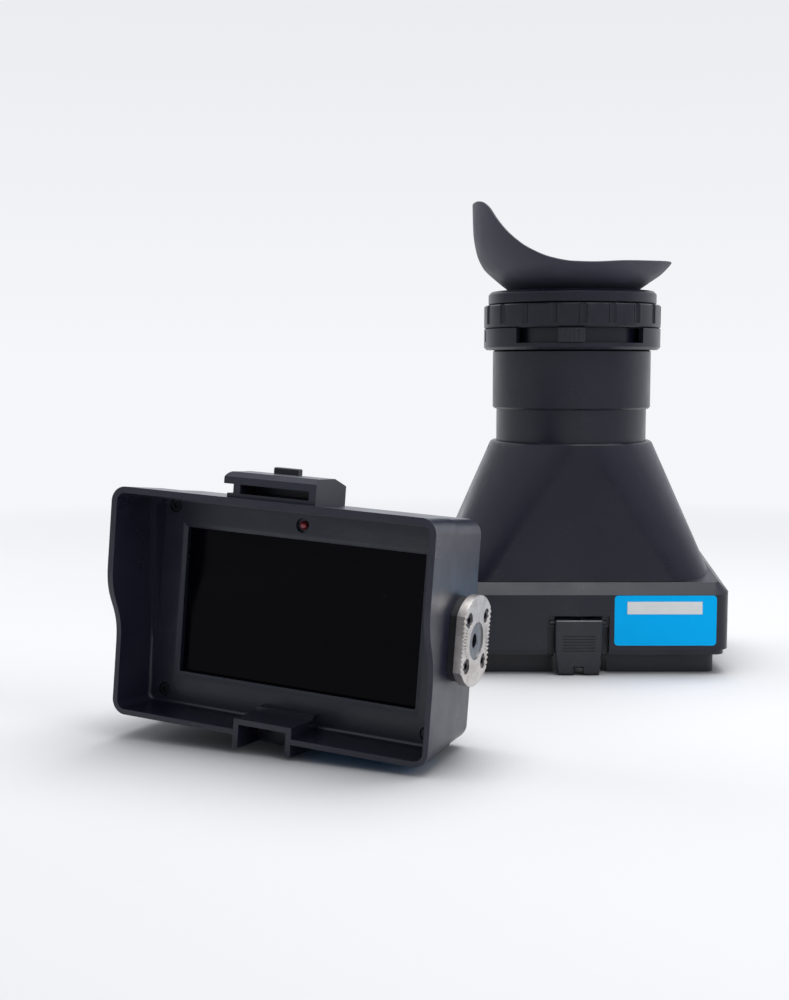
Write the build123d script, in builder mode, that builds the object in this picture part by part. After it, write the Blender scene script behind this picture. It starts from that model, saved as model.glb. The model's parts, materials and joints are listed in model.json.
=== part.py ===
"""Electronic viewfinder in two units that stand side by side.

The screen unit is a small monitor in a hooded housing, with a toothed accessory disc on its
right side. The loupe unit is a magnifier on a flared base that clips over the hood.
All sizes are in millimetres. Each unit is built in its own axes and then stood on the floor.
Screen unit: X to the viewer's right, Y away from the viewer, Z up, origin at the middle of
the screen opening. Loupe unit: Z along the optical axis, origin on the floor, and the side
with the latch faces -Y.
"""
import os
from math import asin, cos, degrees, radians, sin, tan

from build123d import *

os.makedirs("parts", exist_ok=True)

# Screen unit: outer housing
rim_width = 127.0
rim_height = 84.6
rim_radius = 5.5
rim_top_depth = 29.0
rim_bottom_depth = 21.4
rear_depth = 22.5
draft = 2.5
rear_edge_radius = 3.5
hood_wall = 2.3
ledge_depth = 1.5
tongue_wall = 1.2
cavity_fillet = 1.5
ledge_radius = 2.5
shell_wall = 2.2
rim_curve_low = -15.0
rim_curve_high = 13.0
parting_middle = 1.7
parting_tilt = 6.8
cover_step = 0.4
skin_gap = 0.1

# Screen unit: screen opening and what lies behind it
plate_front = 1.0
plate_back = 2.0
opening_width = 97.3
opening_height = 54.7
bevel_side = 1.8
bevel_bottom = 2.7
bevel_depth = 1.0
gasket_thickness = 0.4
gasket_width = 1.8
glass_border = 1.9
glass_thickness = 1.1
glass_edge = 0.2
lcd_width = 102.0
lcd_height = 61.0
lcd_thickness = 2.9
lcd_corner = 0.6
frame_sheet = 0.8
frame_lip = 2.2
frame_screw_x = 30.0
frame_screw_z = 34.4
frame_post_radius = 2.2
frame_screw_radius = 1.0
frame_screw_length = 4.8
frame_head_radius = 1.9
frame_head = 1.1
board_width = 100.0
board_height = 67.0
board_thickness = 1.6
board_gap = 1.6
standoff_radius = 2.2
standoff_inset = 6.0
board_screw_radius = 0.9
board_screw_length = 3.0
board_head_radius = 1.6
board_head = 1.0
chip_size = 8.0
chip_rise = 1.0
chip_pitch = 14.0
chip_left = 20.0
shield_width = 44.0
shield_height = 30.0
shield_rise = 3.2
shield_sheet = 0.4
shield_right = 16.0
shield_down = 12.0

# Screen unit: lamp and bezel screws
lamp_up = 32.8
lamp_radius = 1.5
lamp_length = 3.4
lamp_dome = 1.2
lamp_flange_radius = 1.9
lamp_flange = 0.8
lamp_recess_radius = 2.7
lamp_recess = 1.4
lamp_lead_gap = 1.27
lamp_lead = 0.25
bezel_screw_x = 54.0
bezel_screw_z = 35.0
bezel_screw_radius = 1.25
bezel_screw_length = 11.0
bezel_head_radius = 2.3
bezel_head = 1.3
bezel_sink_radius = 2.6
bezel_sink = 1.7
post_radius = 3.0
thread_clearance = 0.05
hole_clearance = 0.15
drive_radius_share = 0.55
drive_depth_share = 0.6

# Screen unit: receiver block on the top
block_left = 19.0
block_right = 17.3
block_front = 26.0
block_back = 3.0
block_top = 51.2
block_end_wall = 2.7
slot_left = 12.4
slot_bottom = 43.7
slot_height = 3.2
slot_deep = 12.5
lower_plate_left = 17.5
block_front_chamfer = 1.8
block_rear_chamfer_run = 9.1
block_rear_chamfer_drop = 2.7
block_corner_radius = 2.6
receiver_screw_x = 10.5
receiver_screw_back = 10.8
receiver_screw_radius = 1.45
receiver_head_radius = 2.6
receiver_head = 1.5
receiver_screw_length = 6.0

# Screen unit: release button in the receiver block
button_left = 7.0
button_width = 10.0
button_back = 9.5
button_depth = 3.0
button_rise = 2.2
button_flange = 0.8
button_flange_drop = 1.3
button_clearance = 0.25
button_edge = 0.5
button_shoulder = 1.3
spring_end_gap = 0.1
spring_wire = 0.4
spring_radius = 1.1
spring_turns = 5

# Screen unit: latch tunnel in the hood's floor
tunnel_opening = 19.0
tunnel_wall = 2.1
tunnel_top = 36.1
tunnel_roof = 2.0
tunnel_foot = 46.6
tunnel_back = 4.0
tunnel_step = 1.6
tunnel_step_front = 5.1
tunnel_block = 3.0

# Screen unit: toothed disc on the right side
disc_diameter = 31.8
disc_flats = 25.2
disc_thickness = 3.1
disc_back = 3.0
disc_down = 0.8
spacer_margin = 1.0
spacer_thickness = 3.2
tooth_pitch = 6.0
tooth_count_side = 14
tooth_depth = 0.55
tooth_gap_share = 0.85
tooth_inner_radius = 9.6
insert_radius = 6.5
insert_sink = 0.5
insert_length = 8.0
insert_bore = 2.5
insert_bore_deep = 7.0
insert_chamfer = 0.5
disc_screw_offset = 7.9
disc_screw_radius = 1.25
disc_sink_radius = 2.65
disc_sink = 1.7
disc_head_radius = 2.3
disc_head = 1.3
disc_screw_length = 6.4

# Screen unit: keys and sockets at the back
key_count = 4
key_pitch = 15.0
key_radius = 4.0
key_up = 24.0
key_rise = 0.9
key_travel = 1.0
key_flange_radius = 5.2
key_flange = 1.0
key_clearance = 0.3
power_left = 45.0
power_radius = 3.2
mat_thickness = 1.0
key_board_thickness = 1.2
key_post_x = 34.0
key_post_radius = 2.2
key_screw_radius = 0.9
key_screw_length = 3.6
key_screw_head_radius = 1.6
key_screw_head = 1.0
key_edge = 0.4
power_flange_radius = 4.2
dome_slack = 0.3
mat_height = 15.0
mat_width = 112.0
dome_radius = 3.0
video_socket_up = 6.0
video_socket_width = 15.0
video_socket_height = 5.6
video_socket_deep = 12.0
video_opening_width = 14.0
video_opening_height = 4.5
video_tongue = 1.5
socket_back = 2.0
power_socket_up = -14.0
power_socket_size = 9.0
power_socket_height = 6.6
power_socket_deep = 11.0
power_socket_bore = 2.75
power_socket_pin = 1.0
socket_wall_clearance = 0.3
underside_label_width = 45.0
underside_label_back = 1.4
label_thickness = 0.25
underside_label_right = 58.0
underside_label_front = 18.6

# Stance of the screen unit on the floor, in degrees
lean_back = 3.4
roll_right = 3.0

# Loupe unit: base
base_width = 133.0
base_depth = 90.4
base_radius = 7.0
base_wall = 2.7
base_lip = 8.6
lip_band_height = 2.4
lip_inset = 1.7
base_front_top = 35.2
base_top_slope = 9.5
shoulder_run = 4.4
shoulder_rise = 5.6
base_deck = 2.4
deck_chamfer = 2.5
window_side_margin = 22.5
window_front_margin = 18.2
window_radius = 9.0
skirt_side_gap = 3.0
skirt_front_gap = 2.9
skirt_radius = 4.0
skirt_wall = 2.0
skirt_notch_gap = 0.6
skirt_notch_top = 9.2

# Loupe unit: tapered body
cone_root = 24.0
cone_side_overhang = 3.1
cone_front_margin = 4.2
cone_root_radius = 18.0
cone_top = 102.2
cone_top_radius = 37.3
cone_wall = 2.4
cone_flange = 3.0
cone_collar = 6.0
round_share = 0.01
cone_edge = 0.8
cone_screw_side = 14.0
cone_screw_out = 5.0
cone_screw_radius = 1.25
cone_screw_head_radius = 2.4
cone_screw_head = 1.4
cone_screw_length = 6.4

# Loupe unit: barrel and rings
neck_radius = 34.8
barrel_bottom = 117.0
barrel_radius = 36.6
barrel_top = 144.0
barrel_edge = 0.8
bore_radius = 30.9
lower_bore_radius = 29.5
bore_floor = 141.0
upper_tube_radius = 34.0
upper_tube_top = 166.2
set_screw_radius = 1.5
set_screw_length = 3.3
ring_radius = 40.8
ring_chamfer = 1.2
slot_ring_bottom = 144.0
slot_ring_top = 153.6
slot_ring_floor = 2.9
channel_inner = 35.4
channel_outer = 38.4
window_half_angle = 44.0
notch_angle = -83.0
notch_width = 1.8
notch_height = 5.0
notch_depth = 1.5
grip_ring_bottom = 153.8
grip_ring_top = 164.4
grip_grooves = 19
grip_groove_radius = 2.4
grip_groove_depth = 1.0
grip_groove_floor = 1.9
grip_edge = 0.6
grip_turn_back = -28.0
grip_turn_forward = 42.0
running_gap = 0.05
tab_angle = -7.0
tab_half_angle = 8.2
tab_shank_gap = 0.3
tab_bottom_gap = 0.3
tab_shank_rise = 0.6
rib_half_angle = 0.6
rib_pitch = 2.6
tab_rib_rise = 0.35
tab_ribs = 5
tab_proud = 0.7
tab_screw_radius = 0.6
tab_screw_head_radius = 1.0
tab_screw_head = 0.6
tab_screw_length = 9.0

# Loupe unit: lens cell, moved along the axis by the grip ring
cell_radius = 30.85
cell_bottom = 144.0
cell_top = 162.8
cell_lift = 3.0
cell_wall = 3.2
cell_lip = 2.0
cam_count = 3
cam_pin_root = 28.85
cam_slot_gap = 0.15
cam_groove_gap = 0.3
cam_pin_radius = 1.1
cam_pin_up = 157.9
cam_pin_reach = 35.6
cam_slot_radius = 1.4
cam_steps = 28
lens_radius = 27.4
lens_clear_radius = 25.6
eye_lens_bulge = 3.6
eye_lens_edge = 2.6
field_lens_bulge = 2.6
field_lens_edge = 2.2
lens_spacer_height = 7.4
lens_spacer_wall = 1.6
lens_lock_height = 2.4
lens_lock_wall = 2.0
lens_lock_notch = 2.0

# Loupe unit: retaining ring, cap and eyecup
retainer_radius = 35.8
retainer_bore = 29.0
retainer_height = 1.4
retainer_screw_circle = 32.4
retainer_screw_radius = 0.8
retainer_head_radius = 1.4
retainer_head = 0.5
retainer_screw_length = 4.4
cap_radius = 38.8
cap_bottom = 164.6
cap_top = 170.8
cap_chamfer = 1.4
cap_plate = 1.6
cap_hole_radius = 27.6
cap_gap = 0.25
cup_wall = 1.9
cup_flange_radius = 31.5
cup_groove_gap = 0.1
cup_profile = [(36.0, 176.7), (41.6, 182.1), (44.6, 188.9), (46.1, 198.7)]
cup_flange = 0.9
cup_bead_radius = 29.0
cup_tip_height = 211.5
cup_rim_height = 183.8
cup_tip_radius = 46.6
cup_tip_inner = 41.5
cup_sag_across = -30.5
cup_sag_up = 194.6
cup_low_across = -5.0

# Loupe unit: latch, hook plate and labels on the base
latch_centre = -1.0
pocket_width = 27.4
pocket_top = 26.2
pocket_depth = 4.2
pocket_ear = 3.2
pocket_back = 1.2
latch_width = 20.6
latch_tip_width = 18.2
latch_floor_gap = 0.4
latch_thickness = 3.4
latch_proud = 2.4
latch_knuckle_radius = 2.1
latch_pin_up = 23.2
latch_pin_radius = 1.0
latch_pin_length = 25.4
latch_pin_depth = 2.0
saddle_wrap = 0.5
latch_panel_width = 14.2
latch_panel_top = 18.4
latch_panel_bottom = 10.6
latch_panel_sink = 0.5
latch_panel_ribs = 6
latch_notch_width = 3.8
latch_notch_height = 3.2
latch_nib = 1.4
latch_nib_height = 1.6
latch_nib_up = 4.5
latch_nib_across = 5.5
latch_top_rise = 1.5
latch_edge = 0.5
latch_side_gap = 0.2
latch_spring_turns = 4
latch_spring_wire = 0.5
latch_spring_room = 5.4
latch_spring_coil = 1.6
latch_spring_pitch = 1.0
hook_width = 26.4
hook_thickness = 2.6
hook_inset = 1.2
hook_bottom = 4.5
hook_top = 30.0
hook_hole_up = 25.0
hook_corner = 1.0
hook_screw_x = 7.0
hook_screw_radius = 1.45
hook_head_radius = 2.6
hook_head = 1.3
hook_screw_length = 4.0
front_label_left = 14.9
front_label_width = 45.2
front_label_bottom = 13.1
front_label_height = 22.4
front_field_inset = 5.6
front_field_width = 33.2
front_field_height = 5.6
front_field_top = 2.7
front_label_radius = 1.6

# Where the loupe stands, seen from the middle of the screen
loupe_right = 42.8
loupe_behind = 191.3
loupe_turn = 24.3

# Values that follow from the ones above
half_width = rim_width / 2
half_height = rim_height / 2
slope = tan(radians(draft))
rim_rise = rim_top_depth - rim_bottom_depth
glass_front = plate_back + gasket_thickness
glass_back = glass_front + glass_thickness
lcd_back = glass_back + lcd_thickness
frame_back = lcd_back + frame_sheet
board_front = frame_back + board_gap
board_back = board_front + board_thickness
rear_inner = rear_depth - shell_wall
disc_wall_x = half_width - slope * (rim_top_depth + disc_back)
disc_face_x = disc_wall_x + spacer_thickness + disc_thickness
insert_end = disc_face_x - insert_sink - insert_length
tunnel_outer = tunnel_opening + 2 * tunnel_wall
glass_width = opening_width + 2 * glass_border
glass_height = opening_height + 2 * glass_border
bezel_places = [(x, z) for x in (-bezel_screw_x, bezel_screw_x) for z in (-bezel_screw_z, bezel_screw_z)]
frame_screw_places = [
    (x, z)
    for x in (-frame_screw_x, frame_screw_x)
    for z in (-frame_screw_z, frame_screw_z)
]
standoff_x = board_width / 2 - standoff_inset
standoff_z = board_height / 2 - standoff_inset
standoff_places = [(x, z) for x in (-standoff_x, standoff_x) for z in (-standoff_z, standoff_z)]
chip_places = [
    (-chip_left, -shield_down),
    (-chip_left, -shield_down - chip_pitch),
    (-chip_left - chip_pitch, 0),
]
receiver_screw_places = [
    (-receiver_screw_x, -receiver_screw_back),
    (receiver_screw_x, -receiver_screw_back),
]
disc_screw_places = [
    (disc_back + y, z - disc_down)
    for y in (-disc_screw_offset, disc_screw_offset)
    for z in (-disc_screw_offset, disc_screw_offset)
]
key_places = [(number - (key_count - 1) / 2) * key_pitch for number in range(key_count)]
socket_middle = board_back + video_socket_height / 2
power_socket_middle = board_back + power_socket_height / 2
key_flange_back = rear_inner - running_gap
key_flange_front = key_flange_back - key_flange
dome_height = key_travel + dome_slack
mat_back = key_flange_front - dome_height
mat_front = mat_back - mat_thickness
key_board_back = mat_front
key_board_front = mat_front - key_board_thickness
button_middle = button_width / 2 - button_left
button_spring_y = -button_back - button_depth / 2
button_flange_top = block_top - button_shoulder
button_flange_bottom = button_flange_top - running_gap - button_flange_drop
slot_right = block_right - block_end_wall
receiver_seat = half_height - hood_wall
spring_foot = half_height - slope * (rim_top_depth - button_back - button_depth)
base_front = -base_depth / 2
window_half_width = base_width / 2 - window_side_margin
window_half_depth = base_depth / 2 - window_front_margin
skirt_width = base_width - 2 * (base_wall + skirt_side_gap)
skirt_depth = base_depth - 2 * (base_wall + skirt_front_gap)
cone_root_half_width = base_width / 2 + cone_side_overhang
cone_root_half_depth = base_depth / 2 - cone_front_margin
cone_screw_x = window_half_width - cone_screw_side
cone_screw_y = window_half_depth + cone_screw_out
hook_inner = base_depth / 2 - hook_inset
deck_front = base_front + shoulder_run
lift_down = cell_lift * grip_turn_back / grip_turn_forward
cam_angles = [number * 360 / cam_count for number in range(cam_count)]
retainer_angles = [angle + 180 / cam_count for angle in cam_angles]
collar_bottom = cone_top - cone_collar
latch_pin_y = base_front + latch_pin_depth
pocket_floor = base_front + pocket_depth
latch_front = base_front - latch_proud
latch_back = latch_front + latch_thickness
field_lens_seat = cell_bottom + cell_lip
spacer_seat = field_lens_seat + field_lens_edge
eye_lens_seat = spacer_seat + lens_spacer_height
lock_seat = eye_lens_seat + eye_lens_edge
retainer_top = upper_tube_top + retainer_height
cap_plate_bottom = cap_top - cap_plate
set_screw_up = cone_top - cone_collar / 2
saddle_bottom = latch_pin_up - latch_knuckle_radius
saddle_middle = (saddle_bottom + pocket_top) / 2
latch_top = latch_pin_up + latch_top_rise
tab_bottom = slot_ring_bottom + slot_ring_floor + tab_screw_head + tab_shank_rise
tab_screw_circle = (channel_inner + channel_outer) / 2
tab_screw_place = (
    tab_screw_circle * sin(radians(tab_angle)),
    -tab_screw_circle * cos(radians(tab_angle)),
)
cup_outer_points = [(cup_bead_radius, cap_top), *cup_profile, (cup_tip_radius, cup_tip_height)]


def taper_inset(depth):
    """How far the drafted outer skin has drawn in at a depth behind the screen plane."""
    return slope * (rim_top_depth + depth)


def drafted_body(front, back, inset, radius, edge_radius=0.0):
    """A solid that follows the outer skin, drawn in by inset, with its far edges rounded."""
    with BuildPart() as body:
        for depth in (front, back):
            drawn = inset + taper_inset(depth)
            with BuildSketch(Plane.XZ.offset(-depth)):
                RectangleRounded(rim_width - 2 * drawn, rim_height - 2 * drawn, radius)
        loft(ruled=True)
        if edge_radius > 0:
            fillet(body.faces().sort_by(Axis.Y)[-1].edges(), edge_radius)
    return body.part


def parting_plane(shift=0.0):
    """The tilted plane where the front and the rear shells meet, moved back by shift."""
    back = (0, cos(radians(parting_tilt)), sin(radians(parting_tilt)))
    return Plane(origin=(0, shift - parting_middle, 0), x_dir=(1, 0, 0), z_dir=back)


def rim_edge(point):
    """The S shaped edge shared by the hood and the loupe's base, from latch side to hook side.

    point turns a place across the unit and an advance along the optical axis into a point.
    """
    middle = (rim_curve_low + rim_curve_high) / 2
    reach = 2 * rim_height
    low = Line(point(-reach, 0), point(rim_curve_low, 0))
    bend = Bezier(low @ 1, point(middle, 0), point(middle, rim_rise), point(rim_curve_high, rim_rise))
    high = Line(bend @ 1, point(reach, rim_rise))
    return low @ 0, high @ 1


def screw(face, shank_radius, length, head_radius, head_height):
    """A socket head screw: the head stands in front of the plane, the shank runs behind it."""
    with BuildPart() as piece:
        with BuildSketch(face):
            Circle(shank_radius)
        extrude(amount=-length)
        with BuildSketch(face):
            Circle(head_radius)
        extrude(amount=head_height)
        with BuildSketch(face.offset(head_height)):
            RegularPolygon(radius=head_radius * drive_radius_share, side_count=6)
        extrude(amount=-head_height * drive_depth_share, mode=Mode.SUBTRACT)
    return piece.part


def turned(*outline):
    """A closed outline of radius and height points, turned about the loupe's axis."""
    with BuildPart() as piece:
        with BuildSketch(Plane.XZ):
            with BuildLine():
                Polyline(*outline, close=True)
            make_face()
        revolve(axis=Axis.Z)
    return piece.part


def radial_plane(angle, radius=0.0, height=0.0):
    """A plane square to the radius at an angle from the loupe's front, with its Y axis up."""
    out = (sin(radians(angle)), -cos(radians(angle)), 0)
    origin = (radius * out[0], radius * out[1], height)
    return Plane(origin=origin, x_dir=(cos(radians(angle)), sin(radians(angle)), 0), z_dir=out)


def sector(inner, outer, bottom, top, middle, half_angle):
    """A piece of a ring about the loupe's axis, between two radii, heights and angles."""
    start = radians(middle - half_angle)
    out = (sin(start), -cos(start), 0)
    with BuildPart() as piece:
        with BuildSketch(Plane(origin=(0, 0, 0), x_dir=out, z_dir=(out[1], -out[0], 0))):
            with Locations(((inner + outer) / 2, (bottom + top) / 2)):
                Rectangle(outer - inner, top - bottom)
        revolve(axis=Axis.Z, revolution_arc=2 * half_angle)
    return piece.part


def lens(bottom, edge, bulge):
    """A lens bulged alike on both sides, with a flat ring round its edge to seat on."""
    curve = (lens_clear_radius**2 + bulge**2) / (2 * bulge)
    half_drop = curve - (curve**2 - (lens_clear_radius / 2) ** 2) ** 0.5
    top = bottom + edge
    with BuildPart() as piece:
        with BuildSketch(Plane.XZ):
            with BuildLine():
                upper = ThreePointArc(
                    (0, top + bulge),
                    (lens_clear_radius / 2, top + bulge - half_drop),
                    (lens_clear_radius, top),
                )
                rim = Polyline(upper @ 1, (lens_radius, top), (lens_radius, bottom), (lens_clear_radius, bottom))
                lower = ThreePointArc(
                    rim @ 1, (lens_clear_radius / 2, bottom - bulge + half_drop), (0, bottom - bulge)
                )
                Line(lower @ 1, upper @ 0)
            make_face()
        revolve(axis=Axis.Z)
    return piece.part


# Screen unit: the drafted outer skin, and the spaces cut out of it
envelope = drafted_body(-rim_top_depth, rear_depth, 0, rim_radius, rear_edge_radius)
tongue_inset = cover_step + shell_wall + skin_gap
tongue = drafted_body(-rim_top_depth, plate_back, tongue_inset, rim_radius - shell_wall)
behind_plate = drafted_body(plate_back, rear_depth, tongue_inset, rim_radius - shell_wall)
ledge_cavity = drafted_body(-2 * rim_top_depth, -plate_front, tongue_inset + tongue_wall, ledge_radius)

with BuildPart() as hood_cavity:
    with BuildSketch(Plane.XZ.offset(plate_front)):
        RectangleRounded(rim_width - 2 * hood_wall, rim_height - 2 * hood_wall, rim_radius - hood_wall)
    extrude(amount=2 * rim_top_depth)
    fillet(hood_cavity.faces().sort_by(Axis.Y)[-1].edges(), cavity_fillet)
    split(bisect_by=parting_plane(-ledge_depth), keep=Keep.BOTTOM)

with BuildPart() as beyond_rim:
    with BuildSketch(Plane.YZ):
        with BuildLine():
            low, high = rim_edge(lambda across, advance: (-rim_bottom_depth - advance, across))
            Polyline(high, (-4 * rim_top_depth, high.Y), (-4 * rim_top_depth, low.Y), low)
        make_face()
    extrude(amount=rim_width, both=True)

with BuildPart() as bevel:
    with BuildSketch(Plane.XZ.offset(plate_front)):
        with Locations((0, (bevel_side - bevel_bottom) / 2)):
            Rectangle(opening_width + 2 * bevel_side, opening_height + bevel_side + bevel_bottom)
    with BuildSketch(Plane.XZ.offset(plate_front - bevel_depth)):
        Rectangle(opening_width, opening_height)
    loft(ruled=True)

# Screen unit: front housing with the hood, the bezel and the latch tunnel
with BuildPart() as front_housing:
    add(envelope)
    split(bisect_by=parting_plane(), keep=Keep.BOTTOM)
    add(tongue)
    add(behind_plate, mode=Mode.SUBTRACT)
    add(hood_cavity.part, mode=Mode.SUBTRACT)
    add(ledge_cavity, mode=Mode.SUBTRACT)
    add(bevel.part, mode=Mode.SUBTRACT)
    with BuildSketch(Plane.XZ.offset(plate_front)):
        Rectangle(opening_width, opening_height)
    extrude(amount=-2 * (plate_front + plate_back), mode=Mode.SUBTRACT)
    for sink_radius, sink in (
        (bezel_sink_radius, bezel_sink),
        (bezel_screw_radius + hole_clearance, 2 * (plate_front + plate_back)),
    ):
        with BuildSketch(Plane.XZ.offset(plate_front)):
            with Locations(*bezel_places):
                Circle(sink_radius)
        extrude(amount=-sink, mode=Mode.SUBTRACT)
    for sink_radius, sink in (
        (lamp_recess_radius, lamp_recess),
        (lamp_radius + hole_clearance, 2 * (plate_front + plate_back)),
    ):
        with BuildSketch(Plane.XZ.offset(plate_front)):
            with Locations((0, lamp_up)):
                Circle(sink_radius)
        extrude(amount=-sink, mode=Mode.SUBTRACT)
    # posts on the plate's back carry the panel frame
    with BuildSketch(Plane.XZ.offset(-plate_back)):
        with Locations(*frame_screw_places):
            Circle(frame_post_radius)
    extrude(amount=-(lcd_back - plate_back))
    with BuildSketch(Plane.XZ.offset(-lcd_back)):
        with Locations(*frame_screw_places):
            Circle(frame_screw_radius + thread_clearance)
    extrude(amount=frame_screw_length, mode=Mode.SUBTRACT)
    # the tunnel runs through the hood's floor, with two legs below it and a step on its roof
    with BuildSketch(Plane.XZ.offset(rim_bottom_depth)):
        with Locations((0, -(tunnel_top + tunnel_foot) / 2)):
            Rectangle(tunnel_outer, tunnel_foot - tunnel_top)
    extrude(amount=-(rim_bottom_depth - tunnel_back))
    with BuildSketch(Plane.XZ.offset(tunnel_back)):
        with Locations((0, -tunnel_top - tunnel_block / 2)):
            Rectangle(tunnel_outer, tunnel_block)
    extrude(amount=-(tunnel_back - plate_front))
    with BuildSketch(Plane.XZ.offset(tunnel_step_front)):
        with Locations((0, -tunnel_top)):
            Rectangle(tunnel_outer, 2 * tunnel_step)
    extrude(amount=-(tunnel_step_front - plate_front))
    with BuildSketch(Plane.XZ.offset(rim_bottom_depth)):
        with Locations((0, -tunnel_top - tunnel_roof - rim_height / 2)):
            Rectangle(tunnel_opening, rim_height)
    extrude(amount=-(rim_bottom_depth - tunnel_back - tunnel_wall), mode=Mode.SUBTRACT)
    add(beyond_rim.part, mode=Mode.SUBTRACT)
    # holes through the walls for the receiver's screws and the toothed disc
    with BuildSketch(Plane.XY.offset(half_height)):
        with Locations(*receiver_screw_places):
            Circle(receiver_screw_radius + hole_clearance)
    extrude(amount=-half_height / 4, mode=Mode.SUBTRACT)
    with BuildSketch(Plane.YZ.offset(insert_end)):
        with Locations((disc_back, -disc_down)):
            Circle(insert_radius + thread_clearance)
        with Locations(*disc_screw_places):
            Circle(disc_screw_radius + thread_clearance)
    extrude(amount=half_width, mode=Mode.SUBTRACT)
front_housing.part.label = "front_housing"

# Screen unit: rear cover
with BuildPart() as front_part:
    add(envelope)
    split(bisect_by=parting_plane(), keep=Keep.BOTTOM)
front_skin = front_part.part
cover_skin = drafted_body(-rim_top_depth, rear_depth, cover_step, rim_radius, rear_edge_radius)
cover_space = drafted_body(
    -rim_top_depth,
    rear_inner,
    cover_step + shell_wall,
    rim_radius - shell_wall,
    rear_edge_radius - shell_wall,
)
with BuildPart() as rear_cover:
    add(cover_skin)
    split(bisect_by=parting_plane(), keep=Keep.TOP)
    add(cover_space, mode=Mode.SUBTRACT)
    with BuildSketch(Plane.XZ.offset(-plate_back)):
        with Locations(*bezel_places):
            Circle(post_radius)
    extrude(amount=-(rear_inner - plate_back))
    with BuildSketch(Plane.XZ.offset(-plate_back)):
        with Locations(*bezel_places):
            Circle(bezel_screw_radius + thread_clearance)
    extrude(amount=-bezel_screw_length, mode=Mode.SUBTRACT)
    with BuildSketch(Plane.XZ.offset(-rear_inner)):
        with Locations(*[(place, key_up) for place in key_places]):
            Circle(key_radius + key_clearance)
        with Locations((-power_left, key_up)):
            Circle(power_radius + key_clearance)
    extrude(amount=-2 * shell_wall, mode=Mode.SUBTRACT)
    with BuildSketch(Plane.XZ.offset(-key_board_back)):
        with Locations((-key_post_x, key_up), (key_post_x, key_up)):
            Circle(key_post_radius)
    extrude(amount=-(rear_inner - key_board_back))
    with BuildSketch(Plane.XZ.offset(-key_board_back)):
        with Locations((-key_post_x, key_up), (key_post_x, key_up)):
            Circle(key_screw_radius + thread_clearance)
    extrude(amount=-(key_screw_length - key_board_thickness), mode=Mode.SUBTRACT)
    with BuildSketch(Plane.YZ.offset(-half_width)):
        with Locations((socket_middle, video_socket_up)):
            Rectangle(video_opening_height, video_opening_width)
        with Locations((power_socket_middle, power_socket_up)):
            Circle(power_socket_bore + socket_wall_clearance)
    extrude(amount=half_width / 8, mode=Mode.SUBTRACT)
    with BuildSketch(Plane.YZ.offset(insert_end)):
        with Locations((disc_back, -disc_down)):
            Circle(insert_radius + thread_clearance)
        with Locations(*disc_screw_places):
            Circle(disc_screw_radius + thread_clearance)
    extrude(amount=half_width, mode=Mode.SUBTRACT)
rear_cover.part.label = "rear_cover"

# Screen unit: gasket, glass, panel, frame and board, stacked behind the plate
with BuildPart() as glass_gasket:
    with BuildSketch(Plane.XZ.offset(-plate_back)):
        Rectangle(glass_width, glass_height)
        Rectangle(glass_width - 2 * gasket_width, glass_height - 2 * gasket_width, mode=Mode.SUBTRACT)
    extrude(amount=-gasket_thickness)
glass_gasket.part.label = "glass_gasket"

with BuildPart() as screen_glass:
    with BuildSketch(Plane.XZ.offset(-glass_front)):
        Rectangle(glass_width, glass_height)
    extrude(amount=-glass_thickness)
    chamfer(screen_glass.faces().sort_by(Axis.Y)[0].edges(), glass_edge)
screen_glass.part.label = "screen_glass"

with BuildPart() as lcd_panel:
    with BuildSketch(Plane.XZ.offset(-glass_back)):
        Rectangle(lcd_width, lcd_height)
    extrude(amount=-lcd_thickness)
    fillet(lcd_panel.edges().filter_by(Axis.Y), lcd_corner)
lcd_panel.part.label = "lcd_panel"

with BuildPart() as panel_frame:
    with BuildSketch(Plane.XZ.offset(-lcd_back)):
        Rectangle(lcd_width + 2 * frame_sheet, lcd_height + 2 * frame_sheet)
        with Locations((frame_screw_x, 0), (-frame_screw_x, 0)):
            Rectangle(2 * frame_post_radius, 2 * (frame_screw_z + frame_post_radius))
        with Locations(*frame_screw_places):
            Circle(frame_screw_radius + hole_clearance, mode=Mode.SUBTRACT)
    extrude(amount=-frame_sheet)
    with BuildSketch(Plane.XZ.offset(-lcd_back)):
        Rectangle(lcd_width + 2 * frame_sheet, lcd_height + 2 * frame_sheet)
        Rectangle(lcd_width, lcd_height, mode=Mode.SUBTRACT)
    extrude(amount=frame_lip)
    with BuildSketch(Plane.XZ.offset(-frame_back)):
        with Locations(*standoff_places):
            Circle(standoff_radius)
            Circle(board_screw_radius + thread_clearance, mode=Mode.SUBTRACT)
    extrude(amount=-board_gap)
panel_frame.part.label = "panel_frame"

with BuildPart() as main_board:
    with BuildSketch(Plane.XZ.offset(-board_front)):
        Rectangle(board_width, board_height)
        with Locations(*standoff_places):
            Circle(board_screw_radius + hole_clearance, mode=Mode.SUBTRACT)
    extrude(amount=-board_thickness)
    with BuildSketch(Plane.XZ.offset(-board_back)):
        with Locations(*chip_places):
            Rectangle(chip_size, chip_size)
    extrude(amount=-chip_rise)
main_board.part.label = "main_board"

with BuildPart() as processor_shield:
    with BuildSketch(Plane.XZ.offset(-board_back)):
        with Locations((shield_right, -shield_down)):
            Rectangle(shield_width, shield_height)
    extrude(amount=-shield_rise)
    with BuildSketch(Plane.XZ.offset(-board_back)):
        with Locations((shield_right, -shield_down)):
            Rectangle(shield_width - 2 * shield_sheet, shield_height - 2 * shield_sheet)
    extrude(amount=-(shield_rise - shield_sheet), mode=Mode.SUBTRACT)
processor_shield.part.label = "processor_shield"

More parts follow.
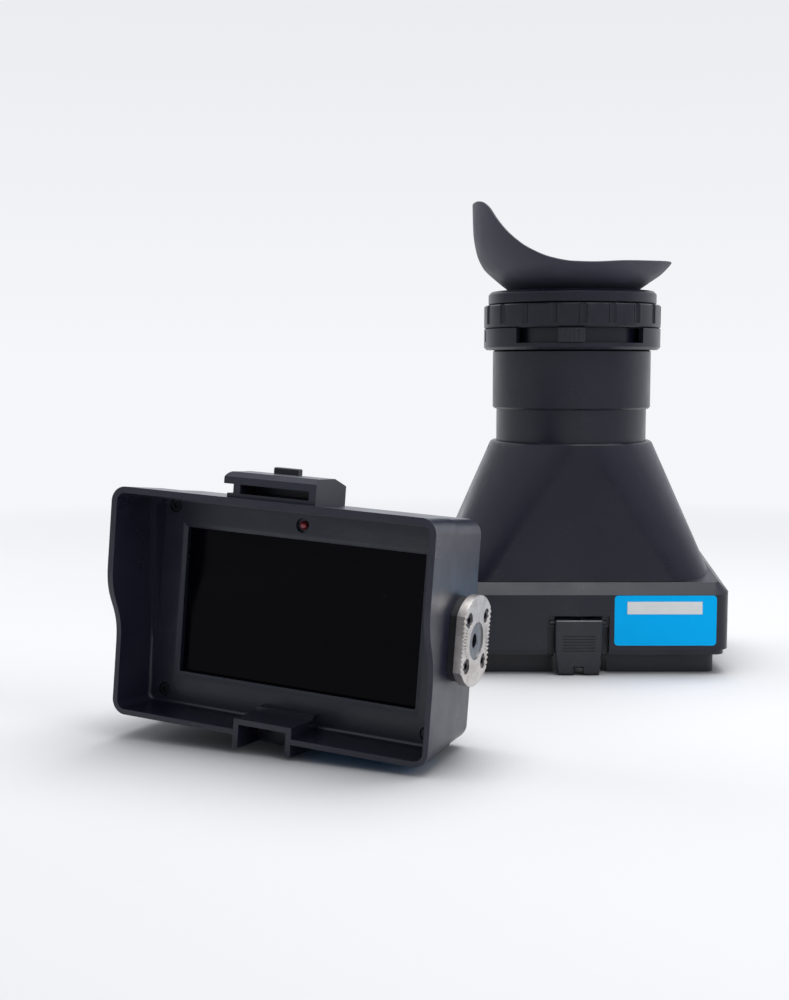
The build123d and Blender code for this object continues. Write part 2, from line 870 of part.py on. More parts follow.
with BuildPart() as tally_lamp:
    with BuildSketch(Plane.XZ.offset(-plate_back)):
        with Locations((0, lamp_up)):
            Circle(lamp_radius)
    extrude(amount=lamp_length)
    fillet(tally_lamp.edges().sort_by(Axis.Y)[0], lamp_dome)
    with BuildSketch(Plane.XZ.offset(-plate_back)):
        with Locations((0, lamp_up)):
            Circle(lamp_flange_radius)
    extrude(amount=-lamp_flange)
    with BuildSketch(Plane.XZ.offset(-plate_back)):
        with Locations((-lamp_lead_gap / 2, lamp_up), (lamp_lead_gap / 2, lamp_up)):
            Rectangle(2 * lamp_lead, 2 * lamp_lead)
    extrude(amount=-(board_front - plate_back))
tally_lamp.part.label = "tally_lamp"


def screw_set(name, faces, shank_radius, length, head_radius, head_height):
    """Identical screws on several planes, as one group of separate solids."""
    with BuildPart() as group:
        for face in faces:
            add(screw(face, shank_radius, length, head_radius, head_height))
    group.part.label = name
    return group


bezel_screws = screw_set(
    "bezel_screws",
    [
        Plane(origin=(x, bezel_sink - plate_front, z), x_dir=(1, 0, 0), z_dir=(0, -1, 0))
        for x, z in bezel_places
    ],
    bezel_screw_radius,
    bezel_screw_length,
    bezel_head_radius,
    bezel_head,
)
frame_screws = screw_set(
    "frame_screws",
    [Plane(origin=(x, frame_back, z), x_dir=(1, 0, 0), z_dir=(0, 1, 0)) for x, z in frame_screw_places],
    frame_screw_radius,
    frame_screw_length,
    frame_head_radius,
    frame_head,
)
board_screws = screw_set(
    "board_screws",
    [Plane(origin=(x, board_back, z), x_dir=(1, 0, 0), z_dir=(0, 1, 0)) for x, z in standoff_places],
    board_screw_radius,
    board_screw_length,
    board_head_radius,
    board_head,
)

# Screen unit: receiver block for the loupe's hook plate
with BuildPart() as top_receiver:
    with BuildSketch(Plane.YZ.offset(-block_left)):
        with BuildLine():
            Polyline(
                (-block_front, 0),
                (-block_front, block_top - block_front_chamfer),
                (-block_front + block_front_chamfer, block_top),
                (-block_back - block_rear_chamfer_run, block_top),
                (-block_back, block_top - block_rear_chamfer_drop),
                (-block_back, 0),
                close=True,
            )
        make_face()
    extrude(amount=block_left + block_right)
    left_top = top_receiver.faces().sort_by(Axis.X)[0].edges().filter_by(Axis.Y).sort_by(Axis.Z)[-1]
    fillet(left_top, block_corner_radius)
    add(envelope, mode=Mode.SUBTRACT)
    with BuildSketch(Plane.XY.offset(slot_bottom)):
        with Locations(((slot_right - slot_left) / 2, -block_front + slot_deep / 2)):
            Rectangle(slot_right + slot_left, slot_deep)
        with Locations((-slot_left - block_end_wall - block_left, -block_front)):
            Rectangle(2 * block_left, 2 * slot_deep)
    extrude(amount=slot_height, mode=Mode.SUBTRACT)
    with BuildSketch(Plane.XY.offset(slot_bottom)):
        with Locations((-lower_plate_left - block_left, -block_front)):
            Rectangle(2 * block_left, 2 * slot_deep)
    extrude(amount=-half_height, mode=Mode.SUBTRACT)
    with BuildSketch(Plane.XY.offset(button_flange_top)):
        with Locations((button_middle, button_spring_y)):
            Rectangle(
                button_width + 2 * button_flange + 2 * button_clearance, button_depth + 2 * button_clearance
            )
    extrude(amount=-half_height, mode=Mode.SUBTRACT)
    with BuildSketch(Plane.XY.offset(button_flange_top)):
        with Locations((button_middle, button_spring_y)):
            Rectangle(button_width + 2 * button_clearance, button_depth + 2 * button_clearance)
    extrude(amount=half_height, mode=Mode.SUBTRACT)
    with BuildSketch(Plane.XY.offset(receiver_seat)):
        with Locations(*receiver_screw_places):
            Circle(receiver_screw_radius + thread_clearance)
    extrude(amount=receiver_screw_length, mode=Mode.SUBTRACT)
top_receiver.part.label = "top_receiver"

receiver_screws = screw_set(
    "receiver_screws",
    [
        Plane(origin=(x, y, receiver_seat), x_dir=(1, 0, 0), z_dir=(0, 0, -1))
        for x, y in receiver_screw_places
    ],
    receiver_screw_radius,
    receiver_screw_length,
    receiver_head_radius,
    receiver_head,
)

with BuildPart() as release_button:
    with BuildSketch(Plane.XY.offset(button_flange_bottom)):
        with Locations((button_middle, button_spring_y)):
            Rectangle(button_width, button_depth)
    extrude(amount=block_top + button_rise - button_flange_bottom)
    fillet(release_button.faces().sort_by(Axis.Z)[-1].edges(), button_edge)
    with BuildSketch(Plane.XY.offset(button_flange_bottom)):
        with Locations((button_middle, button_spring_y)):
            Rectangle(button_width + 2 * button_flange, button_depth)
    extrude(amount=button_flange_drop)
release_button.part.label = "release_button"


def coil(foot, along, height, radius, wire, turns):
    """A spring wound about a line that starts at foot: one unbroken wire of round section."""
    with BuildPart() as spring:
        with BuildLine():
            path = Helix(pitch=height / turns, height=height, radius=radius, center=foot, direction=along)
        with BuildSketch(Plane(origin=path @ 0, z_dir=path % 0)):
            Circle(wire)
        sweep(path=path, is_frenet=True)
    print("spring gap between turns", round(height / turns - 2 * wire, 3))
    return spring.part


with BuildPart() as release_spring:
    add(
        coil(
            (button_middle, button_spring_y, spring_foot + spring_wire),
            (0, 0, 1),
            button_flange_bottom - spring_foot - 2 * spring_wire - spring_end_gap,
            spring_radius,
            spring_wire,
            spring_turns,
        )
    )
release_spring.part.label = "release_spring"

# Screen unit: toothed disc, its spacer, screws and threaded insert
disc_face = Plane(origin=(disc_face_x, disc_back, -disc_down), x_dir=(0, 1, 0), z_dir=(1, 0, 0))
disc_screw_offsets = [(y - disc_back, z + disc_down) for y, z in disc_screw_places]


def disc_outline(margin):
    """The disc's outline with its two flats, drawn in by a margin."""
    with BuildSketch() as outline:
        Circle(disc_diameter / 2 - margin)
        Rectangle(disc_flats - 2 * margin, disc_diameter, mode=Mode.INTERSECT)
    return outline.sketch


def tooth_gap(angle):
    """The V between two radial teeth on the disc's outer face."""
    out = (0, cos(radians(angle)), sin(radians(angle)))
    across = (0, -out[2], out[1])
    with BuildPart() as gap:
        for radius in (tooth_inner_radius, disc_diameter / 2 + tooth_depth):
            half = tooth_gap_share * radius * tan(radians(tooth_pitch / 2))
            origin = (disc_face_x, disc_back + radius * out[1], radius * out[2] - disc_down)
            with BuildSketch(Plane(origin=origin, x_dir=across, z_dir=out)):
                with BuildLine():
                    Polyline(
                        (-2 * half, tooth_depth),
                        (2 * half, tooth_depth),
                        (0, -tooth_depth),
                        close=True,
                    )
                make_face()
        loft(ruled=True)
    return gap.part


with BuildPart() as toothed_disc:
    with BuildSketch(disc_face):
        add(disc_outline(0))
    extrude(amount=-disc_thickness)
    with BuildSketch(disc_face):
        Circle(insert_radius + thread_clearance)
    extrude(amount=-disc_thickness, mode=Mode.SUBTRACT)
    for side in (0, 180):
        for number in range(tooth_count_side):
            angle = side + (number - (tooth_count_side - 1) / 2) * tooth_pitch
            add(tooth_gap(angle), mode=Mode.SUBTRACT)
    with BuildSketch(disc_face):
        with Locations(*disc_screw_offsets):
            Circle(disc_sink_radius)
    extrude(amount=-disc_sink, mode=Mode.SUBTRACT)
    with BuildSketch(disc_face):
        with Locations(*disc_screw_offsets):
            Circle(disc_screw_radius + hole_clearance)
    extrude(amount=-disc_thickness, mode=Mode.SUBTRACT)
toothed_disc.part.label = "toothed_disc"

with BuildPart() as disc_spacer:
    with BuildSketch(disc_face.offset(-disc_thickness)):
        add(disc_outline(spacer_margin))
        Circle(insert_radius + thread_clearance, mode=Mode.SUBTRACT)
        with Locations(*disc_screw_offsets):
            Circle(disc_screw_radius + hole_clearance, mode=Mode.SUBTRACT)
    extrude(amount=-2 * spacer_thickness)
    add(front_skin, mode=Mode.SUBTRACT)
    add(cover_skin, mode=Mode.SUBTRACT)
disc_spacer.part.label = "disc_spacer"

with BuildPart() as threaded_insert:
    with BuildSketch(disc_face.offset(-insert_sink)):
        Circle(insert_radius)
    extrude(amount=-insert_length)
    with BuildSketch(disc_face.offset(-insert_sink)):
        Circle(insert_bore)
    extrude(amount=-insert_bore_deep, mode=Mode.SUBTRACT)
    mouth = threaded_insert.faces().sort_by(Axis.X)[-1].edges().sort_by(SortBy.RADIUS)[0]
    chamfer(mouth, insert_chamfer)
threaded_insert.part.label = "threaded_insert"

disc_screws = screw_set(
    "disc_screws",
    [
        Plane(origin=(disc_face_x - disc_sink, y, z), x_dir=(0, 1, 0), z_dir=(1, 0, 0))
        for y, z in disc_screw_places
    ],
    disc_screw_radius,
    disc_screw_length,
    disc_head_radius,
    disc_head,
)


def key(name, across, radius, flange_radius):
    """A push key in the rear cover: its flange stays inside, its round cap stands out."""
    with BuildPart() as piece:
        with BuildSketch(Plane.XZ.offset(-key_flange_front)):
            with Locations((across, key_up)):
                Circle(flange_radius)
        extrude(amount=-key_flange)
        with BuildSketch(Plane.XZ.offset(-key_flange_front)):
            with Locations((across, key_up)):
                Circle(radius)
        extrude(amount=-(rear_depth + key_rise - key_flange_front))
        fillet(piece.faces().sort_by(Axis.Y)[-1].edges(), key_edge)
    piece.part.label = name
    return piece


menu_buttons = [
    key(f"menu_button_{number + 1}", across, key_radius, key_flange_radius)
    for number, across in enumerate(key_places)
]
power_button = key("power_button", -power_left, power_radius, power_flange_radius)

with BuildPart() as key_board:
    with BuildSketch(Plane.XZ.offset(-key_board_front)):
        with Locations((0, key_up)):
            Rectangle(mat_width, mat_height)
        with Locations((-key_post_x, key_up), (key_post_x, key_up)):
            Circle(key_screw_radius + hole_clearance, mode=Mode.SUBTRACT)
    extrude(amount=-key_board_thickness)
key_board.part.label = "key_board"

with BuildPart() as keypad_mat:
    with BuildSketch(Plane.XZ.offset(-mat_front)):
        with Locations((0, key_up)):
            Rectangle(mat_width, mat_height)
        with Locations((-key_post_x, key_up), (key_post_x, key_up)):
            Circle(key_post_radius + hole_clearance, mode=Mode.SUBTRACT)
    extrude(amount=-mat_thickness)
    with BuildSketch(Plane.XZ.offset(-mat_back)):
        with Locations((-power_left, key_up), *[(place, key_up) for place in key_places]):
            Circle(dome_radius)
    extrude(amount=-dome_height)
keypad_mat.part.label = "keypad_mat"

key_board_screws = screw_set(
    "key_board_screws",
    [
        Plane(origin=(x, key_board_front, key_up), x_dir=(1, 0, 0), z_dir=(0, -1, 0))
        for x in (-key_post_x, key_post_x)
    ],
    key_screw_radius,
    key_screw_length,
    key_screw_head_radius,
    key_screw_head,
)

socket_mouth = -(half_width - taper_inset(rear_depth) - cover_step - shell_wall - socket_wall_clearance)
with BuildPart() as video_socket:
    with BuildSketch(Plane.YZ.offset(socket_mouth)):
        with Locations((socket_middle, video_socket_up)):
            Rectangle(video_socket_height, video_socket_width)
    extrude(amount=video_socket_deep)
    with BuildSketch(Plane.YZ.offset(socket_mouth)):
        with Locations((socket_middle, video_socket_up)):
            Rectangle(video_opening_height, video_opening_width)
            Rectangle(video_tongue, video_opening_width - video_opening_height, mode=Mode.SUBTRACT)
    extrude(amount=video_socket_deep - socket_back, mode=Mode.SUBTRACT)
video_socket.part.label = "video_socket"

with BuildPart() as power_socket:
    with BuildSketch(Plane.YZ.offset(socket_mouth)):
        with Locations((power_socket_middle, power_socket_up)):
            Rectangle(power_socket_height, power_socket_size)
    extrude(amount=power_socket_deep)
    with BuildSketch(Plane.YZ.offset(socket_mouth)):
        with Locations((power_socket_middle, power_socket_up)):
            Circle(power_socket_bore)
            Circle(power_socket_pin, mode=Mode.SUBTRACT)
    extrude(amount=power_socket_deep - socket_back, mode=Mode.SUBTRACT)
power_socket.part.label = "power_socket"

with BuildPart() as underside_label:
    with BuildSketch(Plane.XY):
        middle_x = underside_label_right - underside_label_width / 2
        with Locations((middle_x, (underside_label_back - underside_label_front) / 2)):
            Rectangle(underside_label_width, underside_label_back + underside_label_front)
    extrude(amount=-half_height)
    add(
        drafted_body(-rim_top_depth, rear_depth, -label_thickness, rim_radius + label_thickness),
        mode=Mode.INTERSECT,
    )
    add(envelope, mode=Mode.SUBTRACT)
underside_label.part.label = "underside_label"

# Loupe unit: base
deck_slant = radians(base_top_slope)
deck_top = Plane(
    origin=(0, 0, base_front_top + shoulder_rise - deck_front * tan(deck_slant)),
    x_dir=(1, 0, 0),
    z_dir=(0, -sin(deck_slant), cos(deck_slant)),
)
deck_bottom = deck_top.offset(-base_deck)


def straight_block(width, depth, radius, bottom, ceiling):
    """An upright block with rounded corners, cut off on top by a plane."""
    with BuildPart() as block:
        with BuildSketch(Plane.XY.offset(bottom)):
            RectangleRounded(width, depth, radius)
        extrude(amount=cone_top)
        split(bisect_by=ceiling, keep=Keep.BOTTOM)
    return block.part


def below_lip(rise):
    """The space under the base's S shaped lower edge, raised by rise."""
    with BuildPart() as space:
        with BuildSketch(Plane.YZ):
            with BuildLine():
                low, high = rim_edge(lambda across, advance: (across, base_lip + rise + advance))
                Polyline(high, (high.X, -base_width), (low.X, -base_width), low)
            make_face()
        extrude(amount=base_width, both=True)
    return space.part


def lip_band():
    """The ring taken off the outside of the base along its lower edge."""
    with BuildPart() as band:
        add(below_lip(lip_band_height))
        with BuildSketch():
            RectangleRounded(
                base_width - 2 * lip_inset,
                base_depth - 2 * lip_inset,
                base_radius - lip_inset,
            )
        extrude(amount=base_width, both=True, mode=Mode.SUBTRACT)
    return band.part


def light_window():
    """The opening for the light through the deck, the skirt's flange and the cone's floor."""
    with BuildPart() as opening:
        with BuildSketch(deck_bottom.offset(-2 * base_deck)):
            RectangleRounded(2 * window_half_width, 2 * window_half_depth, window_radius)
        extrude(amount=5 * base_deck)
    return opening.part


inner_width = base_width - 2 * base_wall
inner_depth = base_depth - 2 * base_wall
cone_screw_places = [(x, y) for x in (-cone_screw_x, cone_screw_x) for y in (-cone_screw_y, cone_screw_y)]

with BuildPart() as base_space:
    add(straight_block(inner_width, inner_depth, base_radius - base_wall, 0, deck_bottom))
    chamfer(base_space.faces().sort_by(Axis.Z)[-1].edges(), deck_chamfer)

with BuildPart() as loupe_base:
    add(straight_block(base_width, base_depth, base_radius, 0, deck_top))
    chamfer(loupe_base.faces().sort_by(Axis.Z)[-1].edges(), shoulder_run)
    add(base_space.part, mode=Mode.SUBTRACT)
    # pocket for the latch in the front wall, with saddles for its pin
    with BuildSketch(Plane.XZ.offset(-pocket_floor - pocket_back)):
        with Locations((latch_centre, pocket_top / 2)):
            Rectangle(pocket_width + 2 * pocket_back, pocket_top + 2 * pocket_back)
    extrude(amount=pocket_back - base_front - base_wall + pocket_floor)
    with BuildSketch(Plane.XZ.offset(-base_front)):
        with Locations((latch_centre, pocket_top / 2)):
            Rectangle(pocket_width, pocket_top)
    extrude(amount=-pocket_depth, mode=Mode.SUBTRACT)
    with BuildSketch(Plane.XZ.offset(-pocket_floor)):
        for side in (-1, 1):
            with Locations((latch_centre + side * (pocket_width - pocket_ear) / 2, saddle_middle)):
                Rectangle(pocket_ear, pocket_top - saddle_bottom)
    extrude(amount=pocket_floor - latch_pin_y + saddle_wrap)
    with BuildSketch(Plane.YZ.offset(latch_centre)):
        with Locations((latch_pin_y, latch_pin_up)):
            Circle(latch_pin_radius + thread_clearance)
    extrude(amount=latch_pin_length / 2 + latch_side_gap, both=True, mode=Mode.SUBTRACT)
    add(below_lip(0), mode=Mode.SUBTRACT)
    add(lip_band(), mode=Mode.SUBTRACT)
    add(light_window(), mode=Mode.SUBTRACT)
    with BuildSketch(deck_bottom):
        with Locations(*cone_screw_places):
            Circle(cone_screw_radius + hole_clearance)
    extrude(amount=base_deck, mode=Mode.SUBTRACT)
    # recess and screw holes for the hook plate in the back wall
    with BuildSketch(Plane.XZ.offset(-hook_inner)):
        with Locations((0, hook_top / 2)):
            Rectangle(hook_width + 2 * latch_side_gap, hook_top + 2 * latch_side_gap)
    extrude(amount=-base_wall, mode=Mode.SUBTRACT)
    with BuildSketch(Plane.XZ.offset(-hook_inner)):
        with Locations((-hook_screw_x, hook_hole_up), (hook_screw_x, hook_hole_up)):
            Circle(hook_screw_radius + thread_clearance)
    extrude(amount=base_wall, mode=Mode.SUBTRACT)
loupe_base.part.label = "loupe_base"

# Loupe unit: skirt that drops inside the hood
with BuildPart() as base_skirt:
    add(straight_block(skirt_width, skirt_depth, skirt_radius, 0, deck_bottom))
    add(
        straight_block(
            skirt_width - 2 * skirt_wall,
            skirt_depth - 2 * skirt_wall,
            skirt_radius - skirt_wall,
            0,
            deck_bottom.offset(-skirt_wall),
        ),
        mode=Mode.SUBTRACT,
    )
    add(light_window(), mode=Mode.SUBTRACT)
    with BuildSketch(Plane.XZ):
        with Locations((0, skirt_notch_top / 2)):
            Rectangle(tunnel_outer + 2 * skirt_notch_gap, skirt_notch_top)
    extrude(amount=base_depth, mode=Mode.SUBTRACT)
    with BuildSketch(deck_bottom):
        with Locations(*cone_screw_places):
            Circle(cone_screw_radius + hole_clearance)
    extrude(amount=-skirt_wall, mode=Mode.SUBTRACT)
base_skirt.part.label = "base_skirt"


# Loupe unit: tapered body between the base and the barrel
def cone_block(wall):
    """The loft from a rounded rectangle at the base to a circle at the neck, drawn in by a wall."""
    with BuildPart() as block:
        with BuildSketch(Plane.XY.offset(cone_root)):
            RectangleRounded(
                2 * (cone_root_half_width - wall),
                2 * (cone_root_half_depth - wall),
                cone_root_radius - wall,
            )
        with BuildSketch(Plane.XY.offset(cone_top)):
            RectangleRounded(
                2 * (cone_top_radius - wall),
                2 * (cone_top_radius - wall),
                cone_top_radius - wall - round_share,
            )
        loft(ruled=True)
    return block.part


with BuildPart() as cone_space:
    add(cone_block(cone_wall))
    split(bisect_by=deck_top.offset(cone_flange), keep=Keep.TOP)
    split(bisect_by=Plane.XY.offset(collar_bottom), keep=Keep.BOTTOM)

with BuildPart() as loupe_cone:
    add(cone_block(0))
    split(bisect_by=deck_top, keep=Keep.TOP)
    chamfer(loupe_cone.faces().sort_by(Axis.Z)[-1].edges(), cone_edge)
    add(cone_space.part, mode=Mode.SUBTRACT)
    add(light_window(), mode=Mode.SUBTRACT)
    with BuildSketch(Plane.XY.offset(cone_top)):
        Circle(neck_radius + running_gap)
    extrude(amount=-2 * cone_collar, mode=Mode.SUBTRACT)
    with BuildSketch(deck_top):
        with Locations(*cone_screw_places):
            Circle(cone_screw_radius + thread_clearance)
    extrude(amount=cone_flange, mode=Mode.SUBTRACT)
    with BuildSketch(Plane.YZ):
        with Locations((0, set_screw_up)):
            Circle(set_screw_radius + thread_clearance)
    extrude(amount=cone_root_half_width, both=True, mode=Mode.SUBTRACT)
loupe_cone.part.label = "loupe_cone"

screw_seat = deck_bottom.offset(-skirt_wall)
cone_screws = screw_set(
    "cone_screws",
    [
        Plane(origin=screw_seat.from_local_coords((x, y, 0)), x_dir=(1, 0, 0), z_dir=-deck_top.z_dir)
        for x, y in cone_screw_places
    ],
    cone_screw_radius,
    cone_screw_length,
    cone_screw_head_radius,
    cone_screw_head,
)

with BuildPart() as set_screws:
    for side in (-1, 1):
        seat = Plane(origin=(side * neck_radius, 0, set_screw_up), x_dir=(0, 1, 0), z_dir=(side, 0, 0))
        with BuildSketch(seat.offset(running_gap)):
            Circle(set_screw_radius)
        extrude(amount=set_screw_length)
        with BuildSketch(seat.offset(running_gap + set_screw_length)):
            RegularPolygon(radius=set_screw_radius * drive_radius_share, side_count=6)
        extrude(amount=-set_screw_length / 2, mode=Mode.SUBTRACT)
set_screws.part.label = "set_screws"

# Loupe unit: hook plate on the back of the base
with BuildPart() as hook_plate:
    with BuildSketch(Plane.XZ.offset(-hook_inner)):
        with Locations((0, (hook_top + hook_bottom) / 2)):
            RectangleRounded(hook_width, hook_top - hook_bottom, hook_corner)
        with Locations((-hook_screw_x, hook_hole_up), (hook_screw_x, hook_hole_up)):
            Circle(hook_screw_radius + hole_clearance, mode=Mode.SUBTRACT)
    extrude(amount=-hook_thickness)
hook_plate.part.label = "hook_plate"

hook_screws = screw_set(
    "hook_screws",
    [
        Plane(origin=(x, hook_inner + hook_thickness, hook_hole_up), x_dir=(-1, 0, 0), z_dir=(0, 1, 0))
        for x in (-hook_screw_x, hook_screw_x)
    ],
    hook_screw_radius,
    hook_screw_length,
    hook_head_radius,
    hook_head,
)

# Loupe unit: barrel, with axial slots for the cam pins in its upper tube
barrel_body = turned(
    (lower_bore_radius, collar_bottom),
    (neck_radius, collar_bottom),
    (neck_radius, barrel_bottom),
    (barrel_radius - barrel_edge, barrel_bottom),
    (barrel_radius, barrel_bottom + barrel_edge),
    (barrel_radius, barrel_top - barrel_edge),
    (barrel_radius - barrel_edge, barrel_top),
    (upper_tube_radius, barrel_top),
    (upper_tube_radius, upper_tube_top),
    (bore_radius, upper_tube_top),
    (bore_radius, bore_floor),
    (lower_bore_radius, bore_floor),
)
with BuildPart() as barrel:
    add(barrel_body)
    for angle in cam_angles:
        with BuildSketch(radial_plane(angle, lower_bore_radius, cam_pin_up + (cell_lift + lift_down) / 2)):
            SlotCenterToCenter(cell_lift - lift_down, 2 * (cam_pin_radius + cam_slot_gap), rotation=90)
        extrude(amount=barrel_radius - lower_bore_radius, mode=Mode.SUBTRACT)
    with BuildSketch(Plane.XY.offset(upper_tube_top)):
        for angle in retainer_angles:
            with Locations(radial_plane(angle, retainer_screw_circle).origin):
                Circle(retainer_screw_radius + thread_clearance)
    extrude(amount=-retainer_screw_length, mode=Mode.SUBTRACT)
barrel.part.label = "barrel"

# Loupe unit: fixed ring with the channel and window that the focus tab moves in
slot_ring_body = turned(
    (upper_tube_radius + running_gap, slot_ring_bottom),
    (ring_radius - ring_chamfer, slot_ring_bottom),
    (ring_radius, slot_ring_bottom + ring_chamfer),
    (ring_radius, slot_ring_top),
    (channel_outer, slot_ring_top),
    (channel_outer, slot_ring_bottom + slot_ring_floor),
    (channel_inner, slot_ring_bottom + slot_ring_floor),
    (channel_inner, slot_ring_top),
    (upper_tube_radius + running_gap, slot_ring_top),
)
window_bottom = slot_ring_bottom + slot_ring_floor
window_top = slot_ring_top
with BuildPart() as slot_ring:
    add(slot_ring_body)
    add(
        sector(
            (channel_inner + channel_outer) / 2,
            2 * ring_radius,
            window_bottom,
            window_top + running_gap,
            0,
            window_half_angle,
        ),
        mode=Mode.SUBTRACT,
    )
    notch_up = (window_bottom + window_top) / 2
    with BuildSketch(radial_plane(notch_angle, ring_radius - notch_depth, notch_up)):
        Rectangle(notch_width, notch_height)
    extrude(amount=2 * notch_depth, mode=Mode.SUBTRACT)
slot_ring.part.label = "slot_ring"

# Loupe unit: grip ring, with one helical cam groove for each pin inside it
with BuildPart() as diopter_ring:
    with BuildSketch(Plane.XY.offset(grip_ring_bottom)):
        Circle(ring_radius)
    extrude(amount=grip_ring_top - grip_ring_bottom)
    chamfer(diopter_ring.edges(), grip_edge)
    with BuildSketch(Plane.XY.offset(grip_ring_bottom + grip_groove_floor)):
        groove_circle = ring_radius + grip_groove_radius - grip_groove_depth
        with PolarLocations(groove_circle, grip_grooves, start_angle=-90):
            Circle(grip_groove_radius)
    extrude(amount=grip_ring_top - grip_ring_bottom, mode=Mode.SUBTRACT)
    with BuildSketch(Plane.XY.offset(grip_ring_bottom)):
        Circle(upper_tube_radius + running_gap)
    extrude(amount=grip_ring_top - grip_ring_bottom, mode=Mode.SUBTRACT)
    groove_cutters = []
    for pin_angle in cam_angles:
        for step in range(cam_steps):
            turn = grip_turn_back + (grip_turn_forward - grip_turn_back) * step / (cam_steps - 1)
            height = cam_pin_up + cell_lift * turn / grip_turn_forward
            spot = radial_plane(pin_angle - turn, bore_radius, height)
            reach = cam_pin_reach + cam_groove_gap - bore_radius
            cutter = Cylinder(cam_slot_radius, reach, mode=Mode.PRIVATE)
            groove_cutters.append(spot.location * Pos(0, 0, reach / 2) * cutter)
    add(groove_cutters, mode=Mode.SUBTRACT)
    with BuildSketch(Plane.XY.offset(grip_ring_bottom)):
        with Locations(tab_screw_place):
            Circle(tab_screw_radius + thread_clearance)
    extrude(amount=tab_screw_length - (grip_ring_bottom - tab_bottom), mode=Mode.SUBTRACT)
diopter_ring.part.label = "diopter_ring"

# Loupe unit: focus tab on the grip ring, reaching out through the window
with BuildPart() as diopter_tab:
    add(
        sector(
            channel_inner + tab_shank_gap,
            channel_outer - tab_shank_gap,
            tab_bottom,
            grip_ring_bottom,
            tab_angle,
            tab_half_angle,
        )
    )
    tab_face = ring_radius + tab_proud
    add(
        sector(
            channel_outer - tab_shank_gap,
            tab_face,
            window_bottom + tab_bottom_gap,
            window_top - tab_bottom_gap,
            tab_angle,
            tab_half_angle,
        )
    )
    for rib in range(tab_ribs):
        add(
            sector(
                tab_face - running_gap,
                tab_face + tab_rib_rise,
                window_bottom + 2 * tab_bottom_gap,
                window_top - 2 * tab_bottom_gap,
                tab_angle + (rib - (tab_ribs - 1) / 2) * rib_pitch,
                rib_half_angle,
            )
        )
    with BuildSketch(Plane.XY.offset(tab_bottom)):
        with Locations(tab_screw_place):
            Circle(tab_screw_radius + hole_clearance)
    extrude(amount=grip_ring_bottom - tab_bottom, mode=Mode.SUBTRACT)
diopter_tab.part.label = "diopter_tab"

tab_screw = screw_set(
    "tab_screw",
    [Plane(origin=(*tab_screw_place, tab_bottom), x_dir=(1, 0, 0), z_dir=(0, 0, -1))],
    tab_screw_radius,
    tab_screw_length,
    tab_screw_head_radius,
    tab_screw_head,
)

# Loupe unit: lens cell, its cam pins, and the lenses stacked in it
cell_bore = cell_radius - cell_wall
with BuildPart() as lens_cell:
    add(
        turned(
            (cell_bore, field_lens_seat),
            (cell_bore - cell_lip, field_lens_seat),
            (cell_bore - cell_lip, cell_bottom),
            (cell_radius, cell_bottom),
            (cell_radius, cell_top),
            (cell_bore, cell_top),
        )
    )
    for angle in cam_angles:
        with BuildSketch(radial_plane(angle, cam_pin_root, cam_pin_up)):
            Circle(cam_pin_radius)
        extrude(amount=cell_wall, mode=Mode.SUBTRACT)
lens_cell.part.label = "lens_cell"

with BuildPart() as cam_pins:
    for angle in cam_angles:
        with BuildSketch(radial_plane(angle, cam_pin_root, cam_pin_up)):
            Circle(cam_pin_radius)
        extrude(amount=cam_pin_reach - cam_pin_root)
cam_pins.part.label = "cam_pins"

with BuildPart() as field_lens:
    add(lens(field_lens_seat, field_lens_edge, field_lens_bulge))
field_lens.part.label = "field_lens"

with BuildPart() as lens_spacer:
    with BuildSketch(Plane.XY.offset(spacer_seat)):
        Circle(lens_radius)
        Circle(lens_radius - lens_spacer_wall, mode=Mode.SUBTRACT)
    extrude(amount=lens_spacer_height)
lens_spacer.part.label = "lens_spacer"

with BuildPart() as eye_lens:
    add(lens(eye_lens_seat, eye_lens_edge, eye_lens_bulge))
eye_lens.part.label = "eye_lens"

with BuildPart() as lens_lock_ring:
    with BuildSketch(Plane.XY.offset(lock_seat)):
        Circle(cell_bore - running_gap)
        Circle(cell_bore - running_gap - lens_lock_wall, mode=Mode.SUBTRACT)
    extrude(amount=lens_lock_height)
    with BuildSketch(Plane.XY.offset(lock_seat + lens_lock_height)):
        Rectangle(2 * cell_radius, lens_lock_notch)
    extrude(amount=-lens_lock_height / 2, mode=Mode.SUBTRACT)
lens_lock_ring.part.label = "lens_lock_ring"

# Loupe unit: retaining ring on the upper tube, and the eyecup with its ring
with BuildPart() as eyepiece_retainer:
    with BuildSketch(Plane.XY.offset(upper_tube_top)):
        Circle(retainer_radius)
        Circle(retainer_bore, mode=Mode.SUBTRACT)
        for angle in retainer_angles:
            with Locations(radial_plane(angle, retainer_screw_circle).origin):
                Circle(retainer_screw_radius + hole_clearance, mode=Mode.SUBTRACT)
    extrude(amount=retainer_height)
eyepiece_retainer.part.label = "eyepiece_retainer"

retainer_screws = screw_set(
    "retainer_screws",
    [
        Plane(
            origin=radial_plane(angle, retainer_screw_circle, retainer_top).origin,
            x_dir=(1, 0, 0),
            z_dir=(0, 0, 1),
        )
        for angle in retainer_angles
    ],
    retainer_screw_radius,
    retainer_screw_length,
    retainer_head_radius,
    retainer_head,
)

with BuildPart() as eyecup_ring:
    add(
        turned(
            (upper_tube_radius + running_gap, cap_bottom),
            (cap_radius - grip_edge, cap_bottom),
            (cap_radius, cap_bottom + grip_edge),
            (cap_radius, cap_top - cap_chamfer),
            (cap_radius - cap_chamfer, cap_top),
            (cap_hole_radius, cap_top),
            (cap_hole_radius, cap_plate_bottom),
            (retainer_radius + cap_gap, cap_plate_bottom),
            (retainer_radius + cap_gap, upper_tube_top - cup_groove_gap),
            (upper_tube_radius + running_gap, upper_tube_top - cup_groove_gap),
        )
    )
eyecup_ring.part.label = "eyecup_ring"

